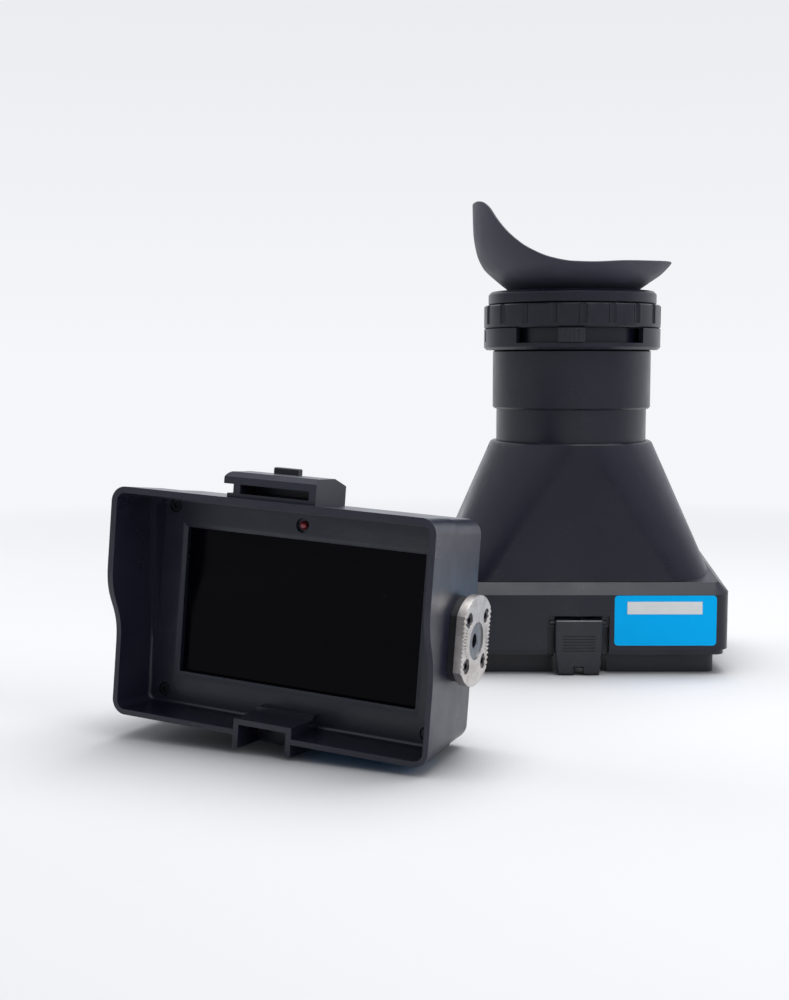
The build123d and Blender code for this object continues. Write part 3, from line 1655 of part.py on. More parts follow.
cup_neck_radius = cap_hole_radius - cup_groove_gap
cup_bore = cup_neck_radius - cup_wall
with BuildPart() as cup_rim_cut:
    with BuildSketch(Plane.XZ):
        with BuildLine():
            wing = Line((-2 * cup_tip_radius, cup_tip_height), (-cup_tip_inner, cup_tip_height))
            dip = ThreePointArc(wing @ 1, (cup_sag_across, cup_sag_up), (cup_low_across, cup_rim_height))
            Polyline(
                dip @ 1,
                (2 * cup_tip_radius, cup_rim_height),
                (2 * cup_tip_radius, 2 * cup_tip_height),
                (-2 * cup_tip_radius, 2 * cup_tip_height),
                wing @ 0,
            )
        make_face()
    extrude(amount=2 * cup_tip_radius, both=True)

with BuildPart() as eyecup:
    with BuildSketch(Plane.XZ):
        with BuildLine():
            outer = Spline(*cup_outer_points)
            Polyline(
                outer @ 0,
                (cup_neck_radius, cap_top),
                (cup_neck_radius, cap_plate_bottom),
                (cup_flange_radius, cap_plate_bottom),
                (cup_flange_radius, cap_plate_bottom - cup_flange),
                (cup_bore, cap_plate_bottom - cup_flange),
                (cup_bore, cap_top),
            )
            inner = Spline(
                (cup_bore, cap_top),
                *[(radius - cup_wall, height + cup_wall / 2) for radius, height in cup_profile],
                (cup_tip_radius - cup_wall, cup_tip_height + cup_wall),
            )
            Polyline(inner @ 1, (cup_tip_radius, cup_tip_height + cup_wall), outer @ 1)
        make_face()
    revolve(axis=Axis.Z)
    add(cup_rim_cut.part, mode=Mode.SUBTRACT)
eyecup.part.label = "eyecup"

# Loupe unit: latch on the front of the base, with its pin and spring
with BuildPart() as latch:
    with BuildSketch(Plane.XZ.offset(-latch_back)):
        with BuildLine():
            Polyline(
                (latch_centre - latch_width / 2, latch_top),
                (latch_centre - latch_width / 2, latch_panel_bottom),
                (latch_centre - latch_tip_width / 2, latch_floor_gap),
                (latch_centre - latch_notch_width / 2, latch_floor_gap),
                (latch_centre - latch_notch_width / 2, latch_floor_gap + latch_notch_height),
                (latch_centre + latch_notch_width / 2, latch_floor_gap + latch_notch_height),
                (latch_centre + latch_notch_width / 2, latch_floor_gap),
                (latch_centre + latch_tip_width / 2, latch_floor_gap),
                (latch_centre + latch_width / 2, latch_panel_bottom),
                (latch_centre + latch_width / 2, latch_top),
                close=True,
            )
        make_face()
    extrude(amount=latch_thickness)
    chamfer(latch.faces().sort_by(Axis.Y)[0].edges(), latch_edge)
    with BuildSketch(Plane.YZ.offset(latch_centre)):
        with Locations((latch_pin_y, latch_pin_up)):
            Circle(latch_knuckle_radius)
        with Locations(((latch_pin_y + latch_back) / 2, latch_pin_up - latch_knuckle_radius / 2)):
            Rectangle(latch_pin_y - latch_back, latch_knuckle_radius)
    extrude(amount=latch_width / 2, both=True)
    with BuildSketch(Plane.YZ.offset(latch_centre)):
        with Locations((latch_pin_y, latch_pin_up)):
            Circle(latch_knuckle_radius + running_gap)
    extrude(amount=latch_spring_room / 2, both=True, mode=Mode.SUBTRACT)
    with BuildSketch(Plane.YZ.offset(latch_centre)):
        with Locations((latch_pin_y, latch_pin_up)):
            Circle(latch_pin_radius + running_gap)
    extrude(amount=latch_width / 2, both=True, mode=Mode.SUBTRACT)
    panel_middle = (latch_panel_top + latch_panel_bottom) / 2
    panel_pitch = (latch_panel_top - latch_panel_bottom) / latch_panel_ribs
    with BuildSketch(Plane.XZ.offset(-latch_front)):
        with Locations((latch_centre, panel_middle)):
            with GridLocations(0, panel_pitch, 1, latch_panel_ribs):
                Rectangle(latch_panel_width, panel_pitch / 2)
    extrude(amount=-latch_panel_sink, mode=Mode.SUBTRACT)
    with BuildSketch(Plane.XZ.offset(-latch_back)):
        for side in (-1, 1):
            with Locations((latch_centre + side * latch_nib_across, latch_floor_gap + latch_nib_up)):
                Rectangle(latch_notch_width, latch_nib_height)
    extrude(amount=-latch_nib)
latch.part.label = "latch"

with BuildPart() as latch_pin:
    with BuildSketch(Plane.YZ.offset(latch_centre)):
        with Locations((latch_pin_y, latch_pin_up)):
            Circle(latch_pin_radius)
    extrude(amount=latch_pin_length / 2, both=True)
latch_pin.part.label = "latch_pin"

latch_spring_length = latch_spring_turns * latch_spring_pitch
with BuildPart() as latch_spring:
    add(
        coil(
            (latch_centre - latch_spring_length / 2, latch_pin_y, latch_pin_up),
            (1, 0, 0),
            latch_spring_length,
            latch_spring_coil,
            latch_spring_wire / 2,
            latch_spring_turns,
        )
    )
latch_spring.part.label = "latch_spring"

# Loupe unit: bare label on the front of the base, with a pale field on it
with BuildPart() as front_label:
    with BuildSketch(Plane.XZ.offset(-base_front)):
        label_across = front_label_left + front_label_width / 2
        with Locations((label_across, front_label_bottom + front_label_height / 2)):
            RectangleRounded(front_label_width, front_label_height, front_label_radius)
    extrude(amount=label_thickness)
front_label.part.label = "front_label"

with BuildPart() as label_field:
    field_left = front_label_left + front_field_inset
    field_top = front_label_bottom + front_label_height - front_field_top
    with BuildSketch(Plane.XZ.offset(label_thickness - base_front)):
        with Locations((field_left + front_field_width / 2, field_top - front_field_height / 2)):
            Rectangle(front_field_width, front_field_height)
    extrude(amount=label_thickness)
label_field.part.label = "label_field"


# Both units are stood on the floor, and the whole is centred over the origin
def extents(pieces):
    """The lowest and the highest corner of the box round several pieces."""
    boxes = [piece.bounding_box() for piece in pieces]
    low = [min(getattr(box.min, axis) for box in boxes) for axis in "XYZ"]
    high = [max(getattr(box.max, axis) for box in boxes) for axis in "XYZ"]
    return low, high


screen_builders = [
    front_housing,
    rear_cover,
    glass_gasket,
    screen_glass,
    lcd_panel,
    panel_frame,
    main_board,
    processor_shield,
    tally_lamp,
    bezel_screws,
    frame_screws,
    board_screws,
    key_board,
    key_board_screws,
    keypad_mat,
    top_receiver,
    receiver_screws,
    release_button,
    release_spring,
    disc_spacer,
    toothed_disc,
    disc_screws,
    threaded_insert,
    *menu_buttons,
    power_button,
    video_socket,
    power_socket,
    underside_label,
]
loupe_builders = [
    loupe_base,
    base_skirt,
    loupe_cone,
    cone_screws,
    hook_plate,
    hook_screws,
    barrel,
    set_screws,
    slot_ring,
    diopter_ring,
    diopter_tab,
    tab_screw,
    lens_cell,
    cam_pins,
    field_lens,
    lens_spacer,
    eye_lens,
    lens_lock_ring,
    eyepiece_retainer,
    retainer_screws,
    eyecup_ring,
    eyecup,
    latch,
    latch_pin,
    latch_spring,
    front_label,
    label_field,
]

screen_stance = Rotation(0, roll_right, 0) * Rotation(-lean_back, 0, 0)
feet, _ = extents([piece.part.moved(screen_stance) for piece in screen_builders])
screen_stand = Pos(0, 0, -feet[2]) * screen_stance
loupe_stand = Pos(loupe_right, loupe_behind, 0) * Rotation(0, 0, loupe_turn)
standing = [piece.part.moved(screen_stand) for piece in screen_builders]
standing += [piece.part.moved(loupe_stand) for piece in loupe_builders]
low, high = extents(standing)
centre = Pos(-(low[0] + high[0]) / 2, -(low[1] + high[1]) / 2, 0)
screen_place = centre * screen_stand
loupe_place = centre * loupe_stand

for piece in screen_builders:
    export_step(piece.part.moved(screen_place), f"parts/{piece.part.label}.step")
for piece in loupe_builders:
    export_step(piece.part.moved(loupe_place), f"parts/{piece.part.label}.step")
print("overall size", [round(top - bottom, 1) for bottom, top in zip(low, high)])
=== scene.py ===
"""Looks of the electronic viewfinder: a hooded monitor and its magnifying loupe."""

import bpy
import json
import math
from mathutils import Matrix, Vector


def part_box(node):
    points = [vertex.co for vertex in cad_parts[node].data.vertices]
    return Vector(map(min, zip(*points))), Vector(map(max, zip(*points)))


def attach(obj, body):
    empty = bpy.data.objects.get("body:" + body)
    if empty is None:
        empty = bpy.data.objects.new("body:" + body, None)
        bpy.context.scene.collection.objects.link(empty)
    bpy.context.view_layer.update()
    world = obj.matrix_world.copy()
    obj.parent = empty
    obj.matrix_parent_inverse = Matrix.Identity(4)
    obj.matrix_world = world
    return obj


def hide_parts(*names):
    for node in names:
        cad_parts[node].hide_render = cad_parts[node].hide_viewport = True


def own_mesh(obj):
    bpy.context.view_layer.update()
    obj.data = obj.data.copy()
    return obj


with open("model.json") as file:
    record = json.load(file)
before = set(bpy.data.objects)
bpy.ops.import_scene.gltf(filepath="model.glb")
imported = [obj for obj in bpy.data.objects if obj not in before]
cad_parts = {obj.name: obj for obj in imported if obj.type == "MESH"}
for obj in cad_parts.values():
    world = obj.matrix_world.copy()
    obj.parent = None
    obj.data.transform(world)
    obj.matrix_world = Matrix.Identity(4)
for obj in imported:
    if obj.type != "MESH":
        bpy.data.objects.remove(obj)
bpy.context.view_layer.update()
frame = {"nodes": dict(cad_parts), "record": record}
nodes = frame["nodes"]
scene = bpy.context.scene

MM = 0.001
UP = Vector((0.0, 0.0, 1.0))


# Nodes: in these helpers, owner is a material or the world
def add_node(owner, kind, **values):
    """A new node with its attributes set, and its inputs where the name is one."""
    node = owner.node_tree.nodes.new(kind)
    for key, value in values.items():
        if key in node.inputs:
            node.inputs[key].default_value = value
        else:
            setattr(node, key, value)
    return node


def spread(owner, value, low, high, to_low, to_high):
    """The value carried from one range to another, and kept inside it."""
    node = add_node(owner, "ShaderNodeMapRange")
    ends = {"From Min": low, "From Max": high, "To Min": to_low, "To Max": to_high}
    for key, number in ends.items():
        node.inputs[key].default_value = number
    owner.node_tree.links.new(value, node.inputs["Value"])
    return node.outputs["Result"]


def mixed(owner, amount, first, second):
    """A colour between two, by the amount. Each is a colour or another node's output."""
    node = add_node(owner, "ShaderNodeMix", data_type="RGBA")
    owner.node_tree.links.new(amount, node.inputs[0])
    for socket, colour in ((node.inputs[6], first), (node.inputs[7], second)):
        if isinstance(colour, tuple):
            socket.default_value = (*colour, 1.0)
        else:
            owner.node_tree.links.new(colour, socket)
    return node.outputs[2]


def combined(owner, operation, first, second):
    """One value from two, by a math operation."""
    node = add_node(owner, "ShaderNodeMath", operation=operation)
    owner.node_tree.links.new(first, node.inputs[0])
    owner.node_tree.links.new(second, node.inputs[1])
    return node.outputs[0]


def joined(owner, amount, first, second):
    """Two shaders mixed by the amount."""
    node = add_node(owner, "ShaderNodeMixShader")
    for number, output in enumerate((amount, first, second)):
        owner.node_tree.links.new(output, node.inputs[number])
    return node.outputs[0]


# Materials
def material(name, colour, roughness, metallic=0.0, specular=0.5):
    """A node material and its shader, with its plain values on the shader's sockets."""
    made = bpy.data.materials.new(name)
    made.use_nodes = True
    shader = made.node_tree.nodes["Principled BSDF"]
    shader.inputs["Base Color"].default_value = (*colour, 1.0)
    shader.inputs["Roughness"].default_value = roughness
    shader.inputs["Metallic"].default_value = metallic
    shader.inputs["Specular IOR Level"].default_value = specular
    return made, shader


def place_coordinates(made, stretch=(1.0, 1.0, 1.0)):
    """The place on the piece in metres, with an axis stretched or squeezed."""
    source = add_node(made, "ShaderNodeTexCoord")
    mapping = add_node(made, "ShaderNodeMapping")
    mapping.inputs["Scale"].default_value = stretch
    made.node_tree.links.new(source.outputs["Object"], mapping.inputs["Vector"])
    return mapping.outputs["Vector"]


def noise(made, where, size, detail=3.0, rough=0.55):
    """Noise with features about size metres across."""
    node = add_node(made, "ShaderNodeTexNoise", Scale=1.0 / size, Detail=detail, Roughness=rough)
    made.node_tree.links.new(where, node.inputs["Vector"])
    return node.outputs["Fac"]


def coloured(made, shader, amount, first, second):
    """The shader's colour between two, by the amount."""
    made.node_tree.links.new(mixed(made, amount, first, second), shader.inputs["Base Color"])


def uneven_roughness(made, shader, pattern, smoother, rougher, low=0.3, high=0.7):
    """Roughness that wanders between two values as the pattern goes from low to high."""
    value = spread(made, pattern, low, high, smoother, rougher)
    made.node_tree.links.new(value, shader.inputs["Roughness"])


def bump(made, shader, height, strength, distance):
    """Relief from a height, in metres."""
    node = add_node(made, "ShaderNodeBump", Strength=strength, Distance=distance)
    made.node_tree.links.new(height, node.inputs["Height"])
    made.node_tree.links.new(node.outputs["Normal"], shader.inputs["Normal"])


# Where wear begins and is full, on a scale that is 0.5 on a flat and more on outer edges
WEAR_START = 0.52
WEAR_FULL = 0.62

# Sizes of the patterns in the materials, in metres
PLASTIC_CLOUD = 0.028
PLASTIC_RUB = 0.006
PLASTIC_SHEEN = 0.012
RUBBER_BLOOM = 0.016
RUBBER_SHEEN = 0.008
METAL_STAIN = 0.005
METAL_DEPTH = 0.00002
LENS_SPECK = 0.0012
LENS_SMUDGE = 0.02
COVER_WIPE = 0.03
COVER_DUST = 0.0011
LAMP_SHADE = 0.0016
LAMP_SHEEN = 0.0009
INK_FADE = 0.009
INK_SHEEN = 0.004
INK_WEAVE = 0.00035
INK_DEPTH = 0.00002


def plastic(name, colour, lighter, roughness, grain, depth, specular=0.5, wear=0.5):
    """Moulded plastic or paint: a fine grain, uneven sheen, faint dust and lighter edges."""
    made, shader = material(name, colour, roughness, specular=specular)
    where = place_coordinates(made)
    fine = noise(made, where, grain, 2.0)
    dust = spread(made, noise(made, where, PLASTIC_CLOUD, 4.0), 0.35, 0.7, 0.0, 0.3)
    toned = mixed(made, dust, colour, lighter)
    geometry = add_node(made, "ShaderNodeNewGeometry")
    edge = spread(made, geometry.outputs["Pointiness"], WEAR_START, WEAR_FULL, 0.0, 1.0)
    rub = spread(made, noise(made, where, PLASTIC_RUB, 5.0, 0.7), 0.42, 0.6, 0.0, wear)
    coloured(made, shader, combined(made, "MULTIPLY", edge, rub), toned, lighter)
    sheen = noise(made, where, PLASTIC_SHEEN, 5.0, 0.6)
    uneven_roughness(made, shader, sheen, roughness - 0.05, roughness + 0.07)
    bump(made, shader, fine, 0.35, depth)
    return made


def rubber(name, colour, lighter, roughness, grain, depth):
    """Matt rubber with a soft bloom in patches."""
    made, shader = material(name, colour, roughness, specular=0.35)
    where = place_coordinates(made)
    bloom = spread(made, noise(made, where, RUBBER_BLOOM, 6.0, 0.65), 0.4, 0.72, 0.0, 0.6)
    coloured(made, shader, bloom, colour, lighter)
    sheen = noise(made, where, RUBBER_SHEEN)
    uneven_roughness(made, shader, sheen, roughness - 0.06, roughness + 0.06)
    bump(made, shader, noise(made, where, grain), 0.3, depth)
    return made


def metal(name, colour, darker, roughness, streak, stretch=(1.0, 1.0, 1.0)):
    """Bare metal with fine tool marks along one way and a little tarnish."""
    made, shader = material(name, colour, roughness, metallic=1.0)
    marks = noise(made, place_coordinates(made, stretch), streak, 4.0, 0.6)
    where = place_coordinates(made)
    stain = spread(made, noise(made, where, METAL_STAIN, 6.0, 0.7), 0.42, 0.75, 0.0, 0.7)
    coloured(made, shader, stain, colour, darker)
    uneven_roughness(made, shader, marks, roughness - 0.08, roughness + 0.1)
    bump(made, shader, marks, 0.4, METAL_DEPTH)
    return made


def clear_glass(name, tint, roughness):
    """Clear glass that lets light in, with a few specks of dust on it."""
    made, shader = material(name, tint, roughness)
    shader.inputs["Transmission Weight"].default_value = 1.0
    shader.inputs["IOR"].default_value = 1.5
    where = place_coordinates(made)
    specks = noise(made, where, LENS_SPECK, 2.0)
    uneven_roughness(made, shader, specks, roughness, 0.35, low=0.74, high=0.78)
    smudge = spread(made, noise(made, where, LENS_SMUDGE, 4.0), 0.3, 0.7, 0.0, 1.0)
    coloured(made, shader, smudge, tint, tuple(0.97 * part for part in tint))
    return made


def cover_glass(name, colour, dusty):
    """Smoked cover glass over a dark panel: black, glossy, with faint dust and wipe marks."""
    made, shader = material(name, colour, 0.09, specular=0.05)
    where = place_coordinates(made)
    wipe = noise(made, place_coordinates(made, (0.4, 1.0, 2.2)), COVER_WIPE, 5.0, 0.6)
    uneven_roughness(made, shader, wipe, 0.06, 0.16, low=0.35)
    dust = spread(made, noise(made, where, COVER_DUST, 1.0), 0.80, 0.83, 0.0, 0.5)
    coloured(made, shader, dust, colour, dusty)
    return made


def lamp_dome(name, colour, dark, bright):
    """Small tinted dome, unlit, its tint varying between darker and brighter in small patches."""
    made, shader = material(name, colour, 0.14)
    where = place_coordinates(made)
    shade = spread(made, noise(made, where, LAMP_SHADE, 2.0), 0.3, 0.7, 0.0, 1.0)
    coloured(made, shader, shade, dark, bright)
    uneven_roughness(made, shader, noise(made, where, LAMP_SHEEN, 2.0), 0.10, 0.2)
    shader.inputs["Coat Weight"].default_value = 0.5
    return made


def printed(name, colour, faded, roughness):
    """Printed film label: even ink with a faint mottle, and slightly glossy."""
    made, shader = material(name, colour, roughness, specular=0.06)
    where = place_coordinates(made)
    fade = spread(made, noise(made, where, INK_FADE, 5.0, 0.6), 0.35, 0.75, 0.0, 0.5)
    coloured(made, shader, fade, colour, faded)
    sheen = noise(made, where, INK_SHEEN)
    uneven_roughness(made, shader, sheen, roughness - 0.06, roughness + 0.08)
    bump(made, shader, noise(made, where, INK_WEAVE, 2.0), 0.2, INK_DEPTH)
    return made


BLACK = (0.0112, 0.0128, 0.0268)
BLACK_LIT = (0.030, 0.032, 0.043)
LOUPE_BLACK = (0.0050, 0.0058, 0.0145)
LOUPE_LIT = (0.020, 0.021, 0.030)
GRIP_LIT = (0.022, 0.023, 0.032)

# The look of each material slot in the record
LOOKS = {
    "housing": plastic(
        "housing_plastic", BLACK, BLACK_LIT,
        roughness=0.31, grain=0.00045, depth=0.00005, specular=0.46,
    ),
    "barrel_black": plastic(
        "barrel_paint", LOUPE_BLACK, LOUPE_LIT,
        roughness=0.30, grain=0.00035, depth=0.00003, specular=0.42,
    ),
    "grip_black": plastic(
        "grip_plastic", (0.0065, 0.0072, 0.0142), GRIP_LIT,
        roughness=0.31, grain=0.00040, depth=0.00004, specular=0.42,
    ),
    "tab_black": plastic(
        "tab_plastic", (0.0085, 0.0092, 0.0160), GRIP_LIT,
        roughness=0.30, grain=0.00035, depth=0.00003,
    ),
    # The skirt's colour is darker and less blue than the housing's: painted shade, for the shadow
    # under the base's overhang. Its matt finish is its own
    "skirt_black": plastic(
        "skirt_plastic_painted_shade", (0.0110, 0.0112, 0.0140), (0.022, 0.022, 0.026),
        roughness=0.55, grain=0.0006, depth=0.00005, wear=0.2,
    ),
    "release_black": plastic(
        "release_plastic", (0.0130, 0.0135, 0.0175), BLACK_LIT,
        roughness=0.36, grain=0.0003, depth=0.00003,
    ),
    "socket_black": plastic(
        "socket_plastic", (0.0090, 0.0090, 0.0100), (0.02, 0.02, 0.02),
        roughness=0.35, grain=0.0003, depth=0.00002,
    ),
    "panel_dark": plastic(
        "panel_dark", (0.004, 0.004, 0.006), (0.007, 0.007, 0.009),
        roughness=0.25, grain=0.0003, depth=0.00001, wear=0.0,
    ),
    "eyecup_rubber": rubber(
        "eyecup_rubber", (0.0385, 0.0400, 0.0560), (0.0480, 0.0500, 0.0680),
        roughness=0.54, grain=0.0005, depth=0.00005,
    ),
    "gasket_rubber": rubber(
        "gasket_rubber", (0.010, 0.010, 0.011), (0.016, 0.016, 0.018),
        roughness=0.75, grain=0.0004, depth=0.00003,
    ),
    "key_rubber": rubber(
        "key_rubber", (0.020, 0.020, 0.023), (0.030, 0.030, 0.034),
        roughness=0.62, grain=0.0004, depth=0.00003,
    ),
    "bright_aluminium": metal(
        "disc_metal", (0.62, 0.59, 0.565), (0.30, 0.26, 0.23),
        roughness=0.36, streak=0.0006, stretch=(1.0, 1.0, 0.06),
    ),
    "insert_steel": metal(
        "insert_steel", (0.20, 0.215, 0.245), (0.10, 0.10, 0.11), roughness=0.34, streak=0.0012
    ),
    "pin_steel": metal(
        "pin_steel", (0.075, 0.075, 0.080), (0.040, 0.038, 0.036),
        roughness=0.4, streak=0.0008, stretch=(0.1, 1.0, 1.0),
    ),
    "spring_steel": metal(
        "spring_steel", (0.50, 0.50, 0.52), (0.30, 0.28, 0.26), roughness=0.32, streak=0.0008
    ),
    "sheet_steel": metal(
        "sheet_steel", (0.58, 0.59, 0.60), (0.42, 0.42, 0.42),
        roughness=0.42, streak=0.0009, stretch=(0.05, 1.0, 1.0),
    ),
    "screw_zinc": metal(
        "screw_zinc", (0.60, 0.59, 0.55), (0.42, 0.40, 0.34), roughness=0.34, streak=0.0008
    ),
    "screw_black": metal(
        "screw_black", (0.045, 0.046, 0.052), (0.020, 0.020, 0.022), roughness=0.42, streak=0.0008
    ),
    "screen_glass": cover_glass("screen_glass", (0.0010, 0.0010, 0.0028), (0.10, 0.11, 0.14)),
    "lens_glass": clear_glass("lens_glass", (0.93, 0.96, 0.97), 0.015),
    "lamp_red": lamp_dome(
        "lamp_red", (0.16, 0.008, 0.016), (0.10, 0.006, 0.012), (0.30, 0.014, 0.026)
    ),
    "label_blue": printed("label_blue", (0.000, 0.455, 0.975), (0.000, 0.475, 0.985), 0.40),
    "label_white": printed("label_white", (0.78, 0.80, 0.80), (0.70, 0.72, 0.73), 0.5),
    "board_green": printed("board_green", (0.010, 0.090, 0.035), (0.016, 0.120, 0.045), 0.4),
}
slot_of = {part["node"]: part["material_slot"] for part in frame["record"]["subparts"]}
for name, thing in nodes.items():
    for seat in thing.material_slots:
        seat.material = LOOKS[slot_of[name]]

# The loupe's base and cone share the housing's slot, and are darker
loupe_plastic = plastic(
    "loupe_plastic", LOUPE_BLACK, LOUPE_LIT,
    roughness=0.31, grain=0.00040, depth=0.00004, specular=0.40,
)
for name in ("loupe_base", "loupe_cone"):
    nodes[name].material_slots[0].material = loupe_plastic

# Softened edges on the moulded and turned pieces, laid over the solids as modifiers: width in mm
SOFT_EDGES = {
    "front_housing": 0.45,
    "rear_cover": 0.40,
    "top_receiver": 0.40,
    "loupe_base": 0.45,
    "base_skirt": 0.40,
    "loupe_cone": 0.30,
    "barrel": 0.35,
    "slot_ring": 0.30,
    "diopter_ring": 0.25,
    "eyecup_ring": 0.30,
    "latch": 0.25,
    "diopter_tab": 0.15,
    "toothed_disc": 0.15,
    "disc_spacer": 0.25,
    "release_button": 0.20,
    "hook_plate": 0.20,
}
WELD_REACH = 0.002
FLAT_ANGLE = 0.6
EDGE_ANGLE = 35.0
EDGE_SEGMENTS = 2
for name, width in SOFT_EDGES.items():
    thing = nodes[name]
    weld = thing.modifiers.new("weld", "WELD")
    weld.merge_threshold = WELD_REACH * MM
    flat = thing.modifiers.new("flat", "DECIMATE")
    flat.decimate_type = "DISSOLVE"
    flat.angle_limit = math.radians(FLAT_ANGLE)
    edge = thing.modifiers.new("edge", "BEVEL")
    edge.width = width * MM
    edge.segments = EDGE_SEGMENTS
    edge.limit_method = "ANGLE"
    edge.angle_limit = math.radians(EDGE_ANGLE)
    edge.use_clamp_overlap = True
    edge.harden_normals = False
    normal = thing.modifiers.new("normal", "WEIGHTED_NORMAL")
    normal.keep_sharp = False


def mesh_piece(name, points, faces, body, slot):
    """A smooth-shaded piece that rides on a body, with the look of its slot."""
    mesh = bpy.data.meshes.new(name)
    mesh.from_pydata([tuple(point) for point in points], [], faces)
    mesh.materials.append(LOOKS[slot])
    mesh.update()
    mesh.polygons.foreach_set("use_smooth", [True] * len(mesh.polygons))
    piece = bpy.data.objects.new(name, mesh)
    scene.collection.objects.link(piece)
    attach(piece, body)
    return piece


# The loupe's axis on the floor in mm, and its turn in degrees. Its own sizes are in mm too
LOUPE_AXIS = Vector((15.390, 76.620, 0.0))
LOUPE_TURN = 24.3
LOUPE = Matrix.Translation(LOUPE_AXIS * MM) @ Matrix.Rotation(math.radians(LOUPE_TURN), 4, "Z")


def on_loupe(radius, turn, height):
    """A point about the loupe's axis, turned by an angle in radians."""
    return LOUPE @ (Vector((radius * math.cos(turn), radius * math.sin(turn), height)) * MM)


def smooth(curve, x):
    """A smooth curve through (x, y) pairs, level at its turning points."""

    def slope_between(first, second):
        return (second[1] - first[1]) / (second[0] - first[0])

    def slope_at(index):
        if index == 0:
            return slope_between(curve[0], curve[1])
        if index == len(curve) - 1:
            return slope_between(curve[-2], curve[-1])
        before = slope_between(curve[index - 1], curve[index])
        after = slope_between(curve[index], curve[index + 1])
        return 2 * before * after / (before + after) if before * after > 0 else 0.0

    index = 0
    while index < len(curve) - 2 and x > curve[index + 1][0]:
        index += 1
    (xa, ya), (xb, yb) = curve[index], curve[index + 1]
    step = xb - xa
    t = min(max((x - xa) / step, 0.0), 1.0)
    return (
        (2 * t**3 - 3 * t**2 + 1) * ya
        + (t**3 - 2 * t**2 + t) * step * slope_at(index)
        + (3 * t**2 - 2 * t**3) * yb
        + (t**3 - t**2) * step * slope_at(index + 1)
    )


# Eyecup: one moulded rubber horn, high on the left and flared low on the right
CUP_COLUMNS = 144
CUP_LEVELS = 26
CUP_CROWDING = 1.15
CUP_BORE = 25.6
CUP_NECK = 27.5
ROOT_RADIUS = 31.4
ROOT_FLOOR = 168.3
ROOT_THICK = 0.8
ROOT_THICK_AT_NECK = 0.9
HORN_FOOT = 170.8
FOOT_STEP = 0.2
FOOT_GAP = 0.02
FOOT_INSET = 0.5
OUTSIDE_START = 0.25
INSIDE_START = 1.2
RIM_WALL = 1.15
RIM_STEPS = 8
FOOT_THICKER = 0.75
STEEPEST = 1.6

# The rim's height by its angle from the high side, and the outer radius by its height
RIM_HEIGHT = [
    (0.0, 211.4), (12.0, 211.3), (20.0, 210.6), (28.0, 208.0), (36.4, 201.6), (46.6, 194.3),
    (57.0, 188.6), (70.7, 184.1), (83.0, 182.4), (95.0, 182.1), (115.0, 182.8), (135.0, 183.2),
    (162.0, 184.0), (180.0, 184.4),
]
HIGH_SIDE = [
    (170.8, 28.7), (176.7, 36.0), (182.1, 41.5), (188.9, 44.5), (198.7, 46.1), (214.0, 46.6),
]
LOW_SIDE = [
    (170.8, 29.6), (175.0, 35.6), (179.2, 41.4), (184.8, 45.8), (196.0, 48.0), (214.0, 48.0),
]


def wall_heights(start, end):
    """Heights up the horn's wall, closer together near its foot."""
    shares = [(step / CUP_LEVELS) ** CUP_CROWDING for step in range(CUP_LEVELS + 1)]
    return [start + (end - start) * share for share in shares]


def cup_section(turn):
    """Upright section of the cup as (radius, height) pairs, from the bore out over the rim."""
    away = min(turn, 360.0 - turn)
    low_share = (1.0 - math.cos(math.radians(away))) / 2.0
    rim_radius = RIM_WALL / 2.0
    last = smooth(RIM_HEIGHT, away) - rim_radius

    def outer(height):
        high_side = (1.0 - low_share) * smooth(HIGH_SIDE, height)
        return high_side + low_share * smooth(LOW_SIDE, height)

    section = [
        (CUP_BORE, ROOT_FLOOR),
        (ROOT_RADIUS, ROOT_FLOOR),
        (ROOT_RADIUS, ROOT_FLOOR + ROOT_THICK),
        (CUP_NECK, ROOT_FLOOR + ROOT_THICK_AT_NECK),
        (CUP_NECK, HORN_FOOT - FOOT_STEP),
        (outer(HORN_FOOT) - FOOT_INSET, HORN_FOOT + FOOT_GAP),
    ]
    for height in wall_heights(HORN_FOOT + OUTSIDE_START, last):
        section.append((outer(height), height))
    centre = outer(last) - rim_radius
    for step in range(1, RIM_STEPS):
        angle = math.pi * step / RIM_STEPS
        rim_height = last + rim_radius * math.sin(angle)
        section.append((centre + rim_radius * math.cos(angle), rim_height))
    inside = list(enumerate(wall_heights(HORN_FOOT + INSIDE_START, last)))
    for step, height in reversed(inside):
        wall = RIM_WALL + FOOT_THICKER * (1.0 - step / CUP_LEVELS)
        slope = outer(height + 0.5) - outer(height - 0.5)
        radius = outer(height) - wall * math.sqrt(1.0 + min(slope, STEEPEST) ** 2)
        section.append((max(radius, CUP_BORE), height))
    section.append((CUP_BORE, HORN_FOOT + FOOT_STEP))
    return section


def moulded_cup(name):
    """The eyecup's closed skin, from its sections all the way round."""
    points = []
    for column in range(CUP_COLUMNS):
        turn = 360.0 * column / CUP_COLUMNS
        across = math.radians(180.0 - turn)
        points += [on_loupe(radius, across, height) for radius, height in cup_section(turn)]
    count = len(points) // CUP_COLUMNS
    faces = []
    for column in range(CUP_COLUMNS):
        here = column * count
        beside = (column + 1) % CUP_COLUMNS * count
        for row in range(count):
            after = (row + 1) % count
            faces.append((here + row, here + after, beside + after, beside + row))
    return mesh_piece(name, points, faces, "eyecup_body", "eyecup_rubber")


cup = moulded_cup("eyecup_horn")
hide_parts("eyecup")

# Lenses: turned finely, since light bends on every facet
LENS_RADIUS = 27.4
LENS_CLEAR = 25.6
LENS_COLUMNS = 96
LENS_STEPS = 14
LENS_CORNER = 0.15


